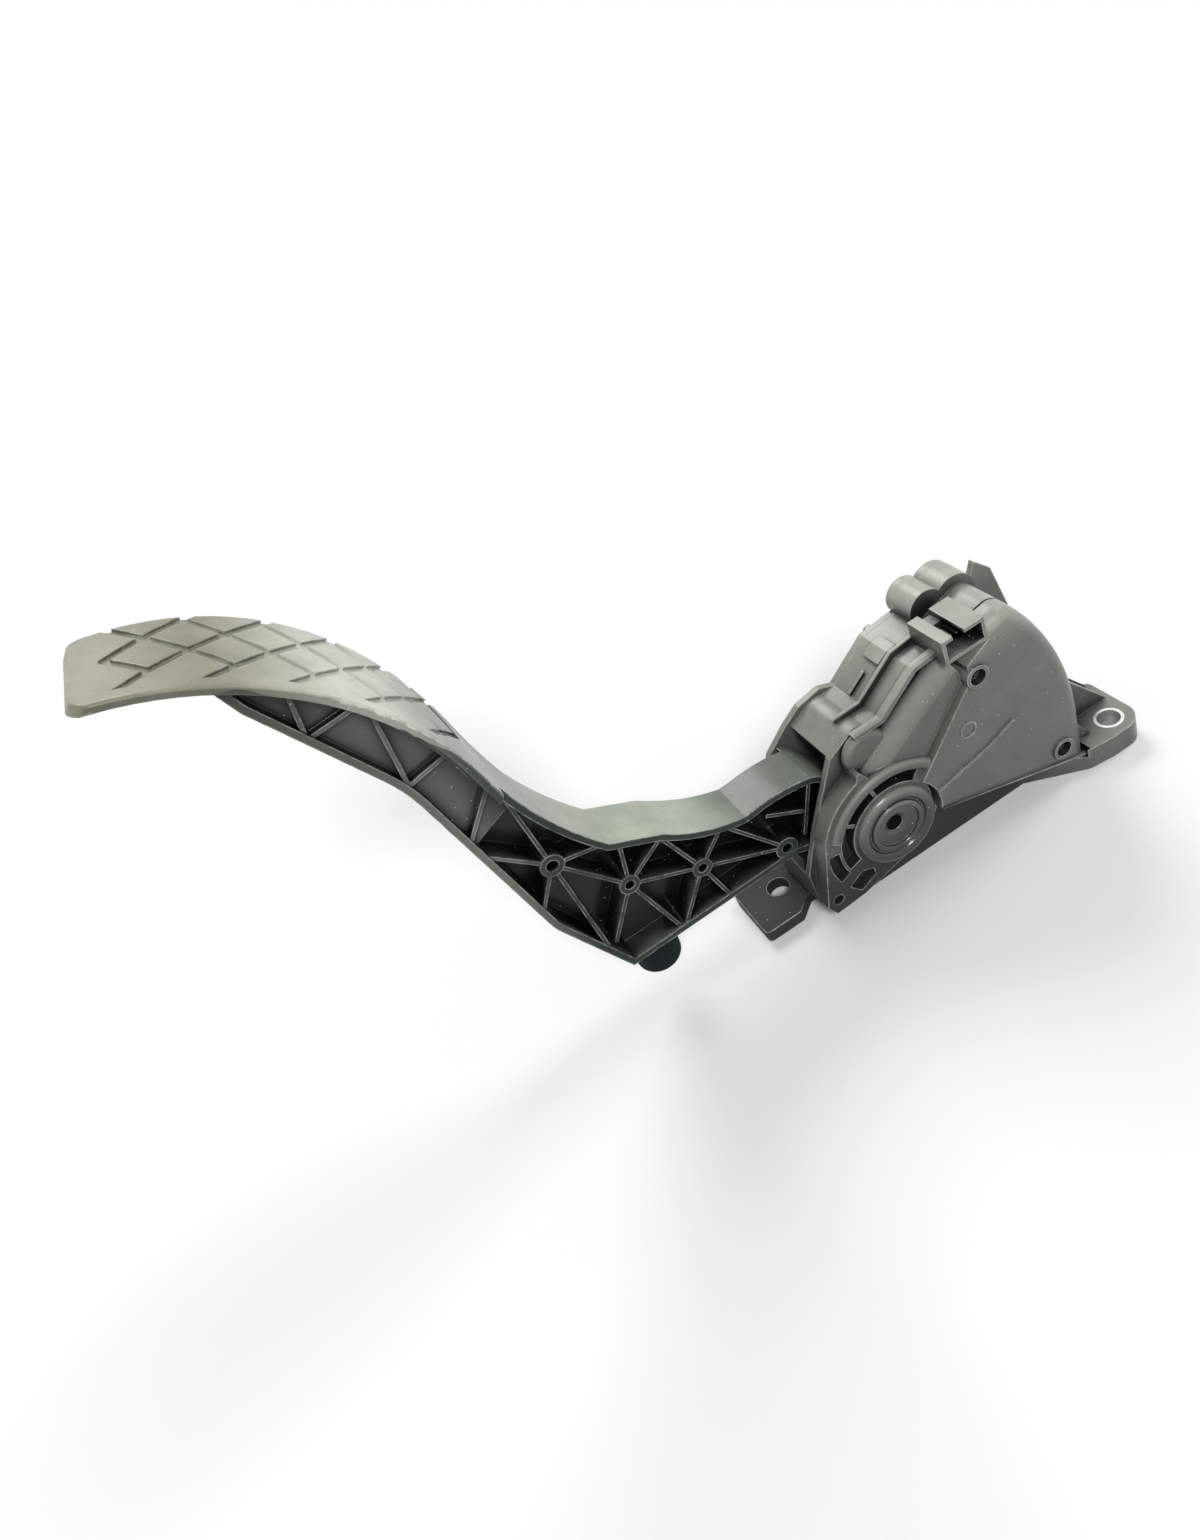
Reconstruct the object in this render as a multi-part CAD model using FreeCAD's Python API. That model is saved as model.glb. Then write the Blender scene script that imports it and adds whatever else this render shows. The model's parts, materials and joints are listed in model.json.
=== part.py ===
import FreeCAD, Part

import math
import os

# Accelerator pedal module, in millimetres.
# The origin lies on the mounting face, straight below the pedal's pivot and midway across the arm.
# +Z points away from the mounting face, +X from the pad towards the upper mounting ear, and Y along the pivot.

V = FreeCAD.Vector

# Pivot, arm width and housing walls
PIVOT_Z = 32.0
ARM_WIDTH = 22.8
SIDE_GAP = 0.5
WALL = 2.6
COVER_DEPTH = 10.0
COVER_WALL = 2.2
BLOCK_SETBACK = 2.5
SEAT_GAP = 0.3
NEAR_INNER = -ARM_WIDTH / 2 - SIDE_GAP
NEAR_WALL = NEAR_INNER - WALL
NEAR_FACE = NEAR_WALL - COVER_DEPTH
BLOCK_FACE = NEAR_FACE + BLOCK_SETBACK
FAR_INNER = ARM_WIDTH / 2 + SIDE_GAP
FAR_FACE = FAR_INNER + WALL

# Pad: an arc in side view, cut to its outline, with a diamond tread
PAD_TIP = (-193.0, PIVOT_Z + 198.75)
PAD_MID = (-148.5, PIVOT_Z + 173.6)
PAD_END = (-117.2, PIVOT_Z + 114.6)
PAD_TAIL = 22.0
PAD_NEAR_TAIL = 10.0
PAD_THICKNESS = 3.0
PAD_NEAR_Y = -16.8
PAD_TIP_Y = 26.2
PAD_WIDE_Y = 31.4
PAD_WIDE_AT = 58.0
PAD_LATE_Y = 24.6
PAD_LATE_AT = 95.0
PAD_END_Y = 18.6
PAD_END_AT = 116.5
PAD_CORNER = 7.0
PAD_FAR_CORNER = 5.0
LIP_RADIUS = 1.3
TREAD_PITCH = 21.7
TREAD_START = 9.0
TREAD_MIDDLE_Y = 7.2
TREAD_GROOVE = 2.6
TREAD_DEPTH = 1.0
TREAD_NEAR_MARGIN = 5.6
TREAD_FAR_MARGIN = 1.0

# Arm: top line, lower line, flanges, ribs and hollow bosses
CREASE = (-94.5, PIVOT_Z + 60.0)
BEND_START = (-77.0, PIVOT_Z + 50.3)
BEND_MID = (-64.0, PIVOT_Z + 41.0)
BEND_END = (-48.0, PIVOT_Z + 35.2)
ROOT_MID = (-33.0, PIVOT_Z + 35.9)
ROOT_TOP = (-20.5, PIVOT_Z + 33.6)
ROOT_BROW = (-15.6, PIVOT_Z + 30.2)
ROOT_CURL = (-12.5, PIVOT_Z + 25.0)
WEB_AT = 31.0
WEB_START = (-162.0, PIVOT_Z + 171.5)
WEB_KNEE = (-139.0, PIVOT_Z + 122.0, 60.0)
HEEL = (-125.3, PIVOT_Z + 41.0, 30.0)
TOE = (-109.0, PIVOT_Z + 3.6)
SOLE_END = (-36.0, PIVOT_Z + 4.5)
FLANGE = 2.6
WEB = 2.4
PANEL_DEPTH = 3.2
PANEL_FOOT = ((-136.0, PIVOT_Z + 86.0), (-106.0, PIVOT_Z + 98.5))
ROOT_TAPER = ((-72.0, 0.0), (-44.0, 3.6), (-21.0, 2.8))
RIB = 1.5
RIB_SETBACK = 0.8
ARM_BOSSES = {
    "leg": (-114.5, PIVOT_Z + 65.5, 4.5, 2.2),
    "heel": (-95.5, PIVOT_Z + 38.5, 4.0, 1.8),
    "bend": (-70.0, PIVOT_Z + 25.5, 4.0, 1.8),
    "root": (-38.5, PIVOT_Z + 9.6, 4.6, 2.0),
}
BOSS_DEPTH = 8.0
ARM_RIBS = (
    ("leg", (-126.0, PIVOT_Z + 49.0)),
    ("leg", (-113.0, PIVOT_Z + 18.0)),
    ("leg", "heel"),
    ("leg", (-97.0, PIVOT_Z + 61.0)),
    ("leg", (-116.0, PIVOT_Z + 104.0)),
    ("leg", (-133.0, PIVOT_Z + 86.0)),
    ((-132.5, PIVOT_Z + 91.3), (-115.8, PIVOT_Z + 109.3)),
    ("heel", (-91.5, PIVOT_Z + 58.0)),
    ("heel", (-110.0, PIVOT_Z + 18.0)),
    ("heel", (-86.5, PIVOT_Z + 5.0)),
    ("heel", "bend"),
    ("heel", (-77.0, PIVOT_Z + 49.5)),
    ("bend", (-78.5, PIVOT_Z + 49.0)),
    ("bend", (-57.0, PIVOT_Z + 37.5)),
    ("bend", "root"),
    ("bend", (-65.0, PIVOT_Z + 5.0)),
    ("bend", (-85.0, PIVOT_Z + 5.0)),
    ((-57.0, PIVOT_Z + 37.0), "root"),
    ((-41.0, PIVOT_Z + 29.0), (-27.0, PIVOT_Z + 20.5)),
    ((-21.0, PIVOT_Z + 33.0), (-30.0, PIVOT_Z + 10.0)),
    ((-152.5, PIVOT_Z + 153.6), (-136.0, PIVOT_Z + 154.4)),
    ((-152.5, PIVOT_Z + 153.6), (-149.0, PIVOT_Z + 170.5)),
    ((-137.3, PIVOT_Z + 122.4), (-133.8, PIVOT_Z + 152.0)),
    ((-137.3, PIVOT_Z + 122.4), (-119.5, PIVOT_Z + 125.4)),
)

# Hub of the arm, its lever and the pivot plugs
DRUM_RADIUS = 20.0
HUB_BORE = 11.0
BUSH_WALL = 2.0
BUSH_LENGTH = 8.5
RUNNING_GAP = 0.05
LEVER_REACH = 57.0
LEVER_TOP = PIVOT_Z + 4.0
LEVER_BOTTOM = PIVOT_Z - 8.0
LEVER_TIP_BOTTOM = PIVOT_Z - 4.0
PLUG_DISC = 16.8
PLUG_DISC_DEPTH = 2.5
PLUG_LIP = 2.8
PLUG_SHANK = PLUG_DISC - PLUG_LIP
PLUG_RING = 10.0
PLUG_RING_HALF = 1.2
PLUG_GROOVE = 1.5
PLUG_GROOVE_WIDTH = 0.8
PLUG_DISH = 2.2
PLUG_HOLE = 3.3
PLUG_MOUTH = 5.0
PLUG_HOLE_DEPTH = 9.0
PLUG_EDGE = 1.8

# Bumper below the arm
BUMPER_X = -98.0
BUMPER_TOP_RADIUS = 10.2
BUMPER_END_RADIUS = 8.8
BUMPER_END_Z = 19.2
BUMPER_ROUND = 3.0
STEM_COVER = 0.6
BUMPER_STEM = 4.0

# Housing outline in side view
BASE_LEFT = -36.0
BASE_CUT = (8.5, 9.5)
SILL_TOP = PIVOT_Z - 6.5
FLANK_TOP = (-27.5, PIVOT_Z + 12.0)
BROW = (-13.0, PIVOT_Z + 38.5)
LEDGE_START = (-3.0, PIVOT_Z + 43.6)
LEDGE_END = (8.7, PIVOT_Z + 43.6)
SLOPE_END = (25.5, PIVOT_Z + 55.4)
SHELF_END = (44.0, PIVOT_Z + 57.0)
CROWN_CORNER = (61.5, PIVOT_Z + 62.5)
CROWN_ROUND = 7.0
ARC_TOP = (65.2, PIVOT_Z + 57.6)
ARC_MID = (79.4, PIVOT_Z + 27.5)
ARC_LOW = (83.3, PIVOT_Z - 11.0)
FRONT_RIDGE = (-18.9, 3.6, 2.4)
FRONT_FIN = (-6.4, 1.8, 2.6)
FRONT_RIB_SHARE = 0.3
FRONT_LEAN = 0.4
SHORT_FIN = (1.2, 1.4, 1.6)
SHORT_FIN_ENDS = ((9.4, PIVOT_Z + 43.6), (17.2, PIVOT_Z + 49.0))
FRONT_TAB = (-3.5, 9.0, 2.0)
FRONT_TAB_ENDS = ((21.0, PIVOT_Z + 51.8), (25.5, PIVOT_Z + 54.8), (29.5, PIVOT_Z + 55.2))
BARREL_X = 0.0
BARREL_Z = PIVOT_Z + 34.6
BARREL_RADIUS = 8.6
BARREL_NEAR_Y = -18.4
BARREL_BAND = 0.9
BARREL_GAP = 1.6
BARREL_END_ROUND = 2.6
BARREL_EASE = 0.4

# Near block: collar, shoulder and bracket
PLUG_MARGIN = 1.5
SLOT_WIDTH = 5.2
COLLAR_WIDTH = 7.0
SLOT_INNER = PLUG_DISC + PLUG_MARGIN
COLLAR_INNER = SLOT_INNER + SLOT_WIDTH
COLLAR_RADIUS = COLLAR_INNER + COLLAR_WIDTH
COLLAR_RISE = 2.2
SLOT_DEPTH = 5.0
SLOT_START = 52.0
SLOT_SWEEP = 146.0
BRACKET_CORNER = (-36.0, PIVOT_Z - 19.0)
BRACKET_FOOT = (-33.5, PIVOT_Z - 24.5)
BRACKET_HEEL = (-20.0, PIVOT_Z - 23.5)
BRACKET_HOLE = (-31.0, PIVOT_Z - 18.0)
BRACKET_HOLE_RADIUS = 2.2
BRACKET_END_X = -13.0
POCKET_DEPTH = 4.5
POCKET_WALL = 1.2
POCKET_START = 172.0
POCKET_SWEEP = 29.0
LOW_POCKET = ((-25.0, -15.6), (-18.4, -11.8), (-13.8, -14.0), (-13.8, -17.4), (-21.0, -20.8))
SEAM_LOW = (15.6, PIVOT_Z + 18.2)
SEAM_HIGH = (40.6, PIVOT_Z + 42.6)
SHOULDER_TOP = (35.5, PIVOT_Z + 56.0)
SHOULDER_LOW = (5.0, PIVOT_Z + 37.5)
SHOULDER_REACH = 13.0
SHOULDER_DROP = 6.0
COLLAR_ROUND = 2.0
COLLAR_START = 42.0
COLLAR_SWEEP = 116.0

# Sensor cover
COVER_LOW_LEFT = (17.0, PIVOT_Z - 5.0)
COVER_LOW_RIGHT = (83.3, PIVOT_Z - 25.8)
COVER_EDGE_ROUND = 5.0
SCREW_BOSSES = ((44.0, PIVOT_Z + 43.0), (73.0, PIVOT_Z - 15.0))
SCREW_BOSS_RADIUS = 4.6
SCREW_BOSS_RISE = 0.9
SCREW_HEAD = 2.9
SCREW_SHANK = 1.6
SCREW_SINK = 4.0
SCREW_HEAD_HEIGHT = 2.0
TRIM_RIB = 1.3
TRIM_RISE = 0.8
FACE_RIB = ((16.0, PIVOT_Z + 4.0), (43.0, PIVOT_Z + 10.0), (54.5, PIVOT_Z + 14.5))
MARK_AT = (36.0, PIVOT_Z + 23.0)
MARK_RADIUS = 3.5
MARK_WIDTH = 0.7
MARK_RISE = 0.4
GASKET = 0.8

# Connector at the top of the housing
PLUG_LEFT = 33.8
PLUG_RIGHT = 51.4
PLUG_BOTTOM = PIVOT_Z + 55.0
PLUG_TOP = PIVOT_Z + 64.8
PLUG_LENGTH = 18.6
PLUG_WALL = 1.4
PLUG_CAVITY = 13.0
LATCH_LEFT = 38.3
LATCH_RIGHT = 43.1
PIN_COUNT = 6
PIN_WIDTH = 0.9
PIN_THICKNESS = 0.6
PIN_REACH = 7.0
PIN_BURIED = 3.6

# Far cover with its lobes, rim and tab
LOBES = ((46.6, PIVOT_Z + 59.6, 7.1), (58.4, PIVOT_Z + 56.8, 8.8))
LOBE_START_Y = 1.0
LOBE_END_Y = 16.6
LOBE_CHAMFER = 1.2
FAR_SCREWS = (
    (46.6, PIVOT_Z + 59.6),
    (58.4, PIVOT_Z + 56.8),
    (74.0, PIVOT_Z - 20.0),
    (-29.8, PIVOT_Z - 15.0),
)
FAR_POST = 4.4
FIN = ((70.0, 46.0), (74.0, 53.2), (75.5, 56.5), (81.9, 49.7), (86.6, 28.2), (78.0, 28.0))
CHEEK = (
    (-27.5, 12.0), (-26.6, 27.0), (-24.3, 31.6), (-14.2, 39.8),
    (-7.3, 44.1), (2.8, 46.0), (8.7, 43.6), (0.0, 20.0),
)
FAR_RIB = 1.8
FAR_RIB_RISE = 1.4
FAR_HUB_FACE = FAR_FACE + FAR_RIB_RISE
ARM_DOORWAY = [(-20.0, SILL_TOP), (-9.0, PIVOT_Z + 25), (-18.0, PIVOT_Z + 60)]

# Mounting ears, lug and steel bushings
EAR_THICKNESS = 10.0
BUSHING_OUTER = 5.6
BUSHING_INNER = 4.4
BUSHING_HEIGHT = 10.4
NEAR_EAR = (99.0, -19.6)
EAR_END_X = 108.6
EAR_NEAR_Y = -28.4
EAR_FAR_Y = 3.0
EAR_CORNER = 8.5
LUG_HOLE = (-43.0, 7.6)
LUG_HOLE_RADIUS = 4.6
LUG_END_X = -59.0
LUG_ROOT_X = BASE_LEFT + BASE_CUT[0] + WALL
LUG_NEAR_Y = -9.4
LUG_FAR_Y = 19.0
LUG_THICKNESS = 5.6
LUG_STEP = 5.5
FAR_EAR = (40.0, 28.0)
FAR_EAR_WIDTH = 24.0

# Return springs and what they push on
SPRING_BACK = 13.0
SPRING_X = LEVER_REACH - SPRING_BACK
CUP_MARGIN = 1.0
CUP_WALL = 1.2
CUP_FLOOR = 2.4
CUP_RIM = 2.0
CUP_RADIUS = ARM_WIDTH / 2 - CUP_MARGIN
SPRING_OUTER_WIRE = 1.8
SPRING_INNER_WIRE = 1.3
SPRING_GAP = 1.45
SPRING_OUTER = CUP_RADIUS - CUP_WALL - SEAT_GAP - SPRING_OUTER_WIRE / 2
SPRING_INNER = SPRING_OUTER - (SPRING_OUTER_WIRE + SPRING_INNER_WIRE) / 2 - SPRING_GAP
OUTER_TURNS = 6
INNER_TURNS = 8
GUIDE_GAP = 0.75
GUIDE_RADIUS = SPRING_INNER - SPRING_INNER_WIRE / 2 - GUIDE_GAP
GUIDE_LENGTH = 7.0
SEAT_Z = PIVOT_Z + 43.0
SEAT_DISC = 2.6

# Stops, friction pad, circuit board and sensor target
REST_PAD_THICKNESS = 3.6
REST_PAD_LENGTH = 10.0
FRICTION_THICKNESS = 2.6
FRICTION_SPREAD = 50.0
BOARD_THICKNESS = 1.6
BOARD_STANDOFF = 4.4
BOARD_CORNERS = (
    (27.0, 2.0), (64.0, -9.0), (75.0, -2.0), (70.0, 33.0),
    (58.0, 46.0), (49.0, 32.0), (27.0, 14.0),
)
CHIP = (7.0, 1.4, 5.0)
CHIP_SPOTS = ((52.0, 10.0), (58.0, 25.0), (40.0, 8.0))
TARGET_SIZE = (14.0, 1.5, 6.0)
TARGET_BACK = 19.0
TARGET_X = LEVER_REACH - TARGET_BACK


def in_side(point, y=0.0):
    """A side-view point (x, z) as a vector at the given Y."""
    return V(point[0], y, point[1])


def line(start, end):
    """A straight edge in side view."""
    return Part.LineSegment(in_side(start), in_side(end)).toShape()


def arc(start, middle, end):
    """An arc in side view, through three points."""
    return Part.Arc(in_side(start), in_side(middle), in_side(end)).toShape()


def face_of(edges):
    """The flat face inside a closed run of edges."""
    return Part.Face(Part.Wire(edges))


def eased(before, here, after):
    """Start, middle and end of the arc that rounds the corner at (x, z, radius)."""
    corner = in_side(here)
    to_last = (in_side(before) - corner).normalize()
    to_next = (in_side(after) - corner).normalize()
    half = to_last.getAngle(to_next) / 2
    reach = here[2] / math.tan(half)
    middle = corner + (to_last + to_next).normalize() * (here[2] / math.sin(half) - here[2])
    return corner + to_last * reach, middle, corner + to_next * reach


def run(points, closed=False):
    """Straight edges through side-view points (x, z) or (x, z, radius), each radius rounding its corner."""
    count = len(points)
    turns = []
    for i, point in enumerate(points):
        if len(point) > 2:
            turns.append(eased(points[i - 1], point, points[(i + 1) % count]))
        else:
            turns.append((in_side(point), None, in_side(point)))
    edges = []
    for i, (start, middle, end) in enumerate(turns):
        if middle:
            edges.append(Part.Arc(start, middle, end).toShape())
        if closed or i < count - 1:
            edges.append(Part.LineSegment(end, turns[(i + 1) % count][0]).toShape())
    return edges


def rounded(corners):
    """A side-view face from corners (x, z) or (x, z, radius)."""
    return face_of(run(corners, True))


def slab(face, y0, y1):
    """A side-view face, carried from y0 to y1."""
    return face.translated(V(0, y0, 0)).extrude(V(0, y1 - y0, 0))


def inset(face, distance):
    """A face drawn in by a distance all round."""
    return Part.Face(face.makeOffset2D(-distance).OuterWire)


def grown(face, distance):
    """A face let out by a distance all round."""
    return Part.Face(face.makeOffset2D(distance).OuterWire)


def box(x0, x1, y0, y1, z0, z1):
    """A block between two corners."""
    return Part.makeBox(x1 - x0, y1 - y0, z1 - z0, V(x0, y0, z0))


def rod_y(point, radius, y0, y1):
    """A cylinder along Y at a side-view point."""
    return Part.makeCylinder(radius, y1 - y0, in_side(point, y0), V(0, 1, 0))


def rod_z(x, y, radius, z0, z1):
    """A cylinder along Z."""
    return Part.makeCylinder(radius, z1 - z0, V(x, y, z0), V(0, 0, 1))


def ring_sector(inner, outer, start, sweep, y0, y1):
    """Part of a ring about the pivot, from an angle above +X, turning towards the pad."""
    points = []
    for radius, angles in ((outer, (0, sweep / 2, sweep)), (inner, (sweep, sweep / 2, 0))):
        for angle in angles:
            turn = math.radians(start + angle)
            points.append((radius * math.cos(turn), PIVOT_Z + radius * math.sin(turn)))
    edges = [
        arc(points[0], points[1], points[2]),
        line(points[2], points[3]),
        arc(points[3], points[4], points[5]),
        line(points[5], points[0]),
    ]
    return slab(face_of(edges), y0, y1)


def bar(start, end, thickness, y0, y1):
    """A straight rib between two side-view points."""
    along = (in_side(end) - in_side(start)).normalize()
    across = V(-along.z, 0, along.x) * (thickness / 2)
    corners = [in_side(start) + across, in_side(end) + across, in_side(end) - across, in_side(start) - across]
    face = Part.Face(Part.makePolygon(corners + [corners[0]]))
    return slab(face, y0, y1)


def pivot(y):
    """The pivot's centre at a given Y."""
    return V(0, y, PIVOT_Z)


def pad_circle():
    """Centre and radius of the pad's top line."""
    circle = arc(PAD_TIP, PAD_MID, PAD_END).Curve
    return circle.Center, circle.Radius


def on_pad(distance, depth=0.0):
    """The side-view point at a distance along the pad from its tip, and a depth under its top line."""
    centre, radius = pad_circle()
    tip = in_side(PAD_TIP) - centre
    turn = math.atan2(tip.z, tip.x) - distance / radius
    return (centre.x + (radius - depth) * math.cos(turn), centre.z + (radius - depth) * math.sin(turn))


def pad_length():
    """The length of the pad's arc, from its tip to its end on the leg."""
    centre, radius = pad_circle()
    return radius * (in_side(PAD_TIP) - centre).getAngle(in_side(PAD_END) - centre)


def leg_circle():
    """Centre and radius of the leg's top line, tangent to the pad at its end and run to the crease."""
    pad_centre, pad_radius = pad_circle()
    outward = (in_side(PAD_END) - pad_centre).normalize()
    chord = in_side(CREASE) - in_side(PAD_END)
    radius = chord.dot(chord) / (2 * chord.dot(outward))
    return in_side(PAD_END) + outward * radius, radius


def on_leg(distance, depth=0.0):
    """The side-view point at a distance along the leg from the pad's end, and a depth under its top line."""
    centre, radius = leg_circle()
    start = in_side(PAD_END) - centre
    turn = math.atan2(start.z, start.x) + distance / radius
    return (centre.x + (radius + depth) * math.cos(turn), centre.z + (radius + depth) * math.sin(turn))


def pad_sheet():
    """The curved sheet of the pad, as wide as it can be, before its outline is cut."""
    length = pad_length()
    start = -PAD_CORNER
    under = PAD_THICKNESS
    tail = PAD_TAIL
    edges = [
        arc(on_pad(start), on_pad(length / 2), PAD_END),
        arc(PAD_END, on_leg(tail / 2), on_leg(tail)),
        line(on_leg(tail), on_leg(tail, under)),
        arc(on_leg(tail, under), on_leg(tail / 2, under), on_pad(length, under)),
        arc(on_pad(length, under), on_pad(length / 2, under), on_pad(start, under)),
        line(on_pad(start, under), on_pad(start)),
    ]
    sheet = slab(face_of(edges), PAD_NEAR_Y, PAD_WIDE_Y + PAD_CORNER)
    near = [edge for edge in sheet.Edges if edge.BoundBox.YMax < PAD_NEAR_Y + 0.01 and edge.Length > length / 2]
    return sheet.makeFillet(LIP_RADIUS, near)


def pad_outline():
    """A prism with the pad's outline as seen square to its chord."""
    start = in_side(PAD_TIP)
    along = (in_side(PAD_END) - start).normalize()
    length = (in_side(on_leg(PAD_TAIL)) - start).dot(along)
    near_end = (in_side(on_leg(PAD_NEAR_TAIL)) - start).dot(along)
    up = V(-along.z, 0, along.x)

    def place(distance, y):
        return start + along * distance + V(0, y, 0)

    round_part = PAD_CORNER * (1 - math.sqrt(0.5))
    far_part = PAD_FAR_CORNER * (1 - math.sqrt(0.5))
    near = PAD_NEAR_Y - SEAT_GAP
    inside = -ARM_WIDTH / 2 + WEB
    tip = PAD_TIP_Y
    edges = [
        Part.Arc(place(PAD_CORNER, near), place(round_part, near + round_part), place(0, near + PAD_CORNER)),
        Part.LineSegment(place(0, near + PAD_CORNER), place(0, tip - PAD_FAR_CORNER)),
        Part.Arc(place(0, tip - PAD_FAR_CORNER), place(far_part, tip - far_part), place(PAD_FAR_CORNER, tip)),
        Part.Arc(place(PAD_FAR_CORNER, tip), place(PAD_WIDE_AT, PAD_WIDE_Y), place(PAD_LATE_AT, PAD_LATE_Y)),
        Part.LineSegment(place(PAD_LATE_AT, PAD_LATE_Y), place(PAD_END_AT, PAD_END_Y)),
        Part.LineSegment(place(PAD_END_AT, PAD_END_Y), place(length, ARM_WIDTH / 2)),
        Part.LineSegment(place(length, ARM_WIDTH / 2), place(length, inside)),
        Part.LineSegment(place(length, inside), place(near_end, inside)),
        Part.LineSegment(place(near_end, inside), place(near_end, near)),
        Part.LineSegment(place(near_end, near), place(PAD_CORNER, near)),
    ]
    face = face_of([edge.toShape() for edge in edges])
    sagitta = PAD_THICKNESS * 8
    return face.translated(up * -sagitta).extrude(up * (2 * sagitta))


def groove(distance, y, rising):
    """One stretch of tread groove, centred at a place on the pad, along one of the two diagonals."""
    half = TREAD_PITCH / 2
    here = in_side(on_pad(distance), y)
    centre, radius = pad_circle()
    outward = (in_side(on_pad(distance)) - centre).normalize()
    along = V(outward.z, 0, -outward.x) * half + V(0, half if rising else -half, 0)
    length = along.Length + TREAD_GROOVE * 0.4
    along.normalize()
    across = outward.cross(along) * (TREAD_GROOVE / 2)
    corner = here - along * (length / 2) - outward * TREAD_DEPTH
    reach = along * length
    corners = [corner + across, corner + across + reach, corner - across + reach, corner - across]
    return Part.Face(Part.makePolygon(corners + [corners[0]])).extrude(outward * (TREAD_DEPTH * 2))


def tread_grooves():
    """Every stretch of groove that lies inside the tread's margins."""
    half = TREAD_PITCH / 2
    columns = int((pad_length() - TREAD_START) / half)
    grooves = []
    for column in range(columns):
        for row in range(-2, 3):
            if (column + row) % 2:
                continue
            distance = TREAD_START + column * half
            y = TREAD_MIDDLE_Y + row * half
            for rising, sign in ((True, 1), (False, -1)):
                middle_y = y + sign * half / 2
                near_limit = PAD_NEAR_Y + TREAD_NEAR_MARGIN + (0 if rising else half / 2)
                if near_limit < middle_y < PAD_WIDE_Y + half / 2:
                    grooves.append(groove(distance + half / 2, middle_y, rising))
    return grooves


def pedal_pad():
    """The pad with its rounded near lip and its tread."""
    sheet = pad_sheet().common(pad_outline())
    field = slab(rounded_field(), PAD_NEAR_Y + TREAD_NEAR_MARGIN, PAD_WIDE_Y + PAD_CORNER)
    return sheet.cut([piece.common(field) for piece in tread_grooves()])


def rounded_field():
    """The side-view band that the tread's grooves keep to."""
    reach = TREAD_DEPTH * 3
    end = pad_length() - TREAD_FAR_MARGIN
    edges = [
        arc(on_pad(0, -reach), on_pad(end / 2, -reach), on_pad(end, -reach)),
        line(on_pad(end, -reach), on_pad(end, reach)),
        arc(on_pad(end, reach), on_pad(end / 2, reach), on_pad(0, reach)),
        line(on_pad(0, reach), on_pad(0, -reach)),
    ]
    return face_of(edges)


def arm_side():
    """The arm's side-view face, from under the pad to the hub."""
    under = PAD_THICKNESS * 0.6
    length = pad_length()
    leg_radius = leg_circle()[1]
    leg_chord = (in_side(CREASE) - in_side(PAD_END)).Length
    leg_length = leg_radius * 2 * math.asin(leg_chord / 2 / leg_radius)
    top = [
        arc(on_pad(WEB_AT, under), on_pad((WEB_AT + length) / 2, under), on_pad(length, under)),
        line(on_pad(length, under), PAD_END),
        arc(PAD_END, on_leg(leg_length / 2), CREASE),
        line(CREASE, BEND_START),
        arc(BEND_START, BEND_MID, BEND_END),
        arc(BEND_END, ROOT_MID, ROOT_TOP),
        arc(ROOT_TOP, ROOT_BROW, ROOT_CURL),
    ]
    drum_top = (-DRUM_RADIUS * 0.35, PIVOT_Z + DRUM_RADIUS * 0.9)
    drum_low = (-DRUM_RADIUS * 0.5, PIVOT_Z - DRUM_RADIUS * 0.3)
    corners = [ROOT_CURL, drum_top, (0, PIVOT_Z), drum_low, SOLE_END, TOE, HEEL, WEB_KNEE, WEB_START]
    return face_of(top + run(corners + [on_pad(WEB_AT, under)]))


def rib_end(place):
    """A rib's end: a side-view point, or the middle of the boss with that name."""
    return ARM_BOSSES[place][:2] if isinstance(place, str) else place


def lever():
    """The lever behind the hub, on which the springs push."""
    corners = [
        (0, PIVOT_Z + DRUM_RADIUS * 0.7),
        (DRUM_RADIUS * 1.2, LEVER_TOP, 3.0),
        (LEVER_REACH, LEVER_TOP, 1.5),
        (LEVER_REACH, LEVER_TIP_BOTTOM, 3.0),
        (SPRING_X, LEVER_BOTTOM, 3.0),
        (0, PIVOT_Z - DRUM_RADIUS * 0.7),
    ]
    return slab(rounded(corners), -ARM_WIDTH / 2, ARM_WIDTH / 2)


def bumper_seat_z():
    """The height of the arm's sole over the bumper's axis."""
    share = (BUMPER_X - TOE[0]) / (SOLE_END[0] - TOE[0])
    return TOE[1] + share * (SOLE_END[1] - TOE[1])


def stem_top_z():
    """The height at which the bumper's stem ends, inside the arm's lower flange."""
    return bumper_seat_z() + FLANGE - STEM_COVER


def above_foot():
    """The room over the line where the shallow panel of the pad's end stops."""
    low, high = PANEL_FOOT
    top = PAD_TIP[1]
    corners = [(PAD_TIP[0], low[1]), low, high, (high[0], top), (PAD_TIP[0], top)]
    return slab(rounded(corners), -ARM_WIDTH, 0)


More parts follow.
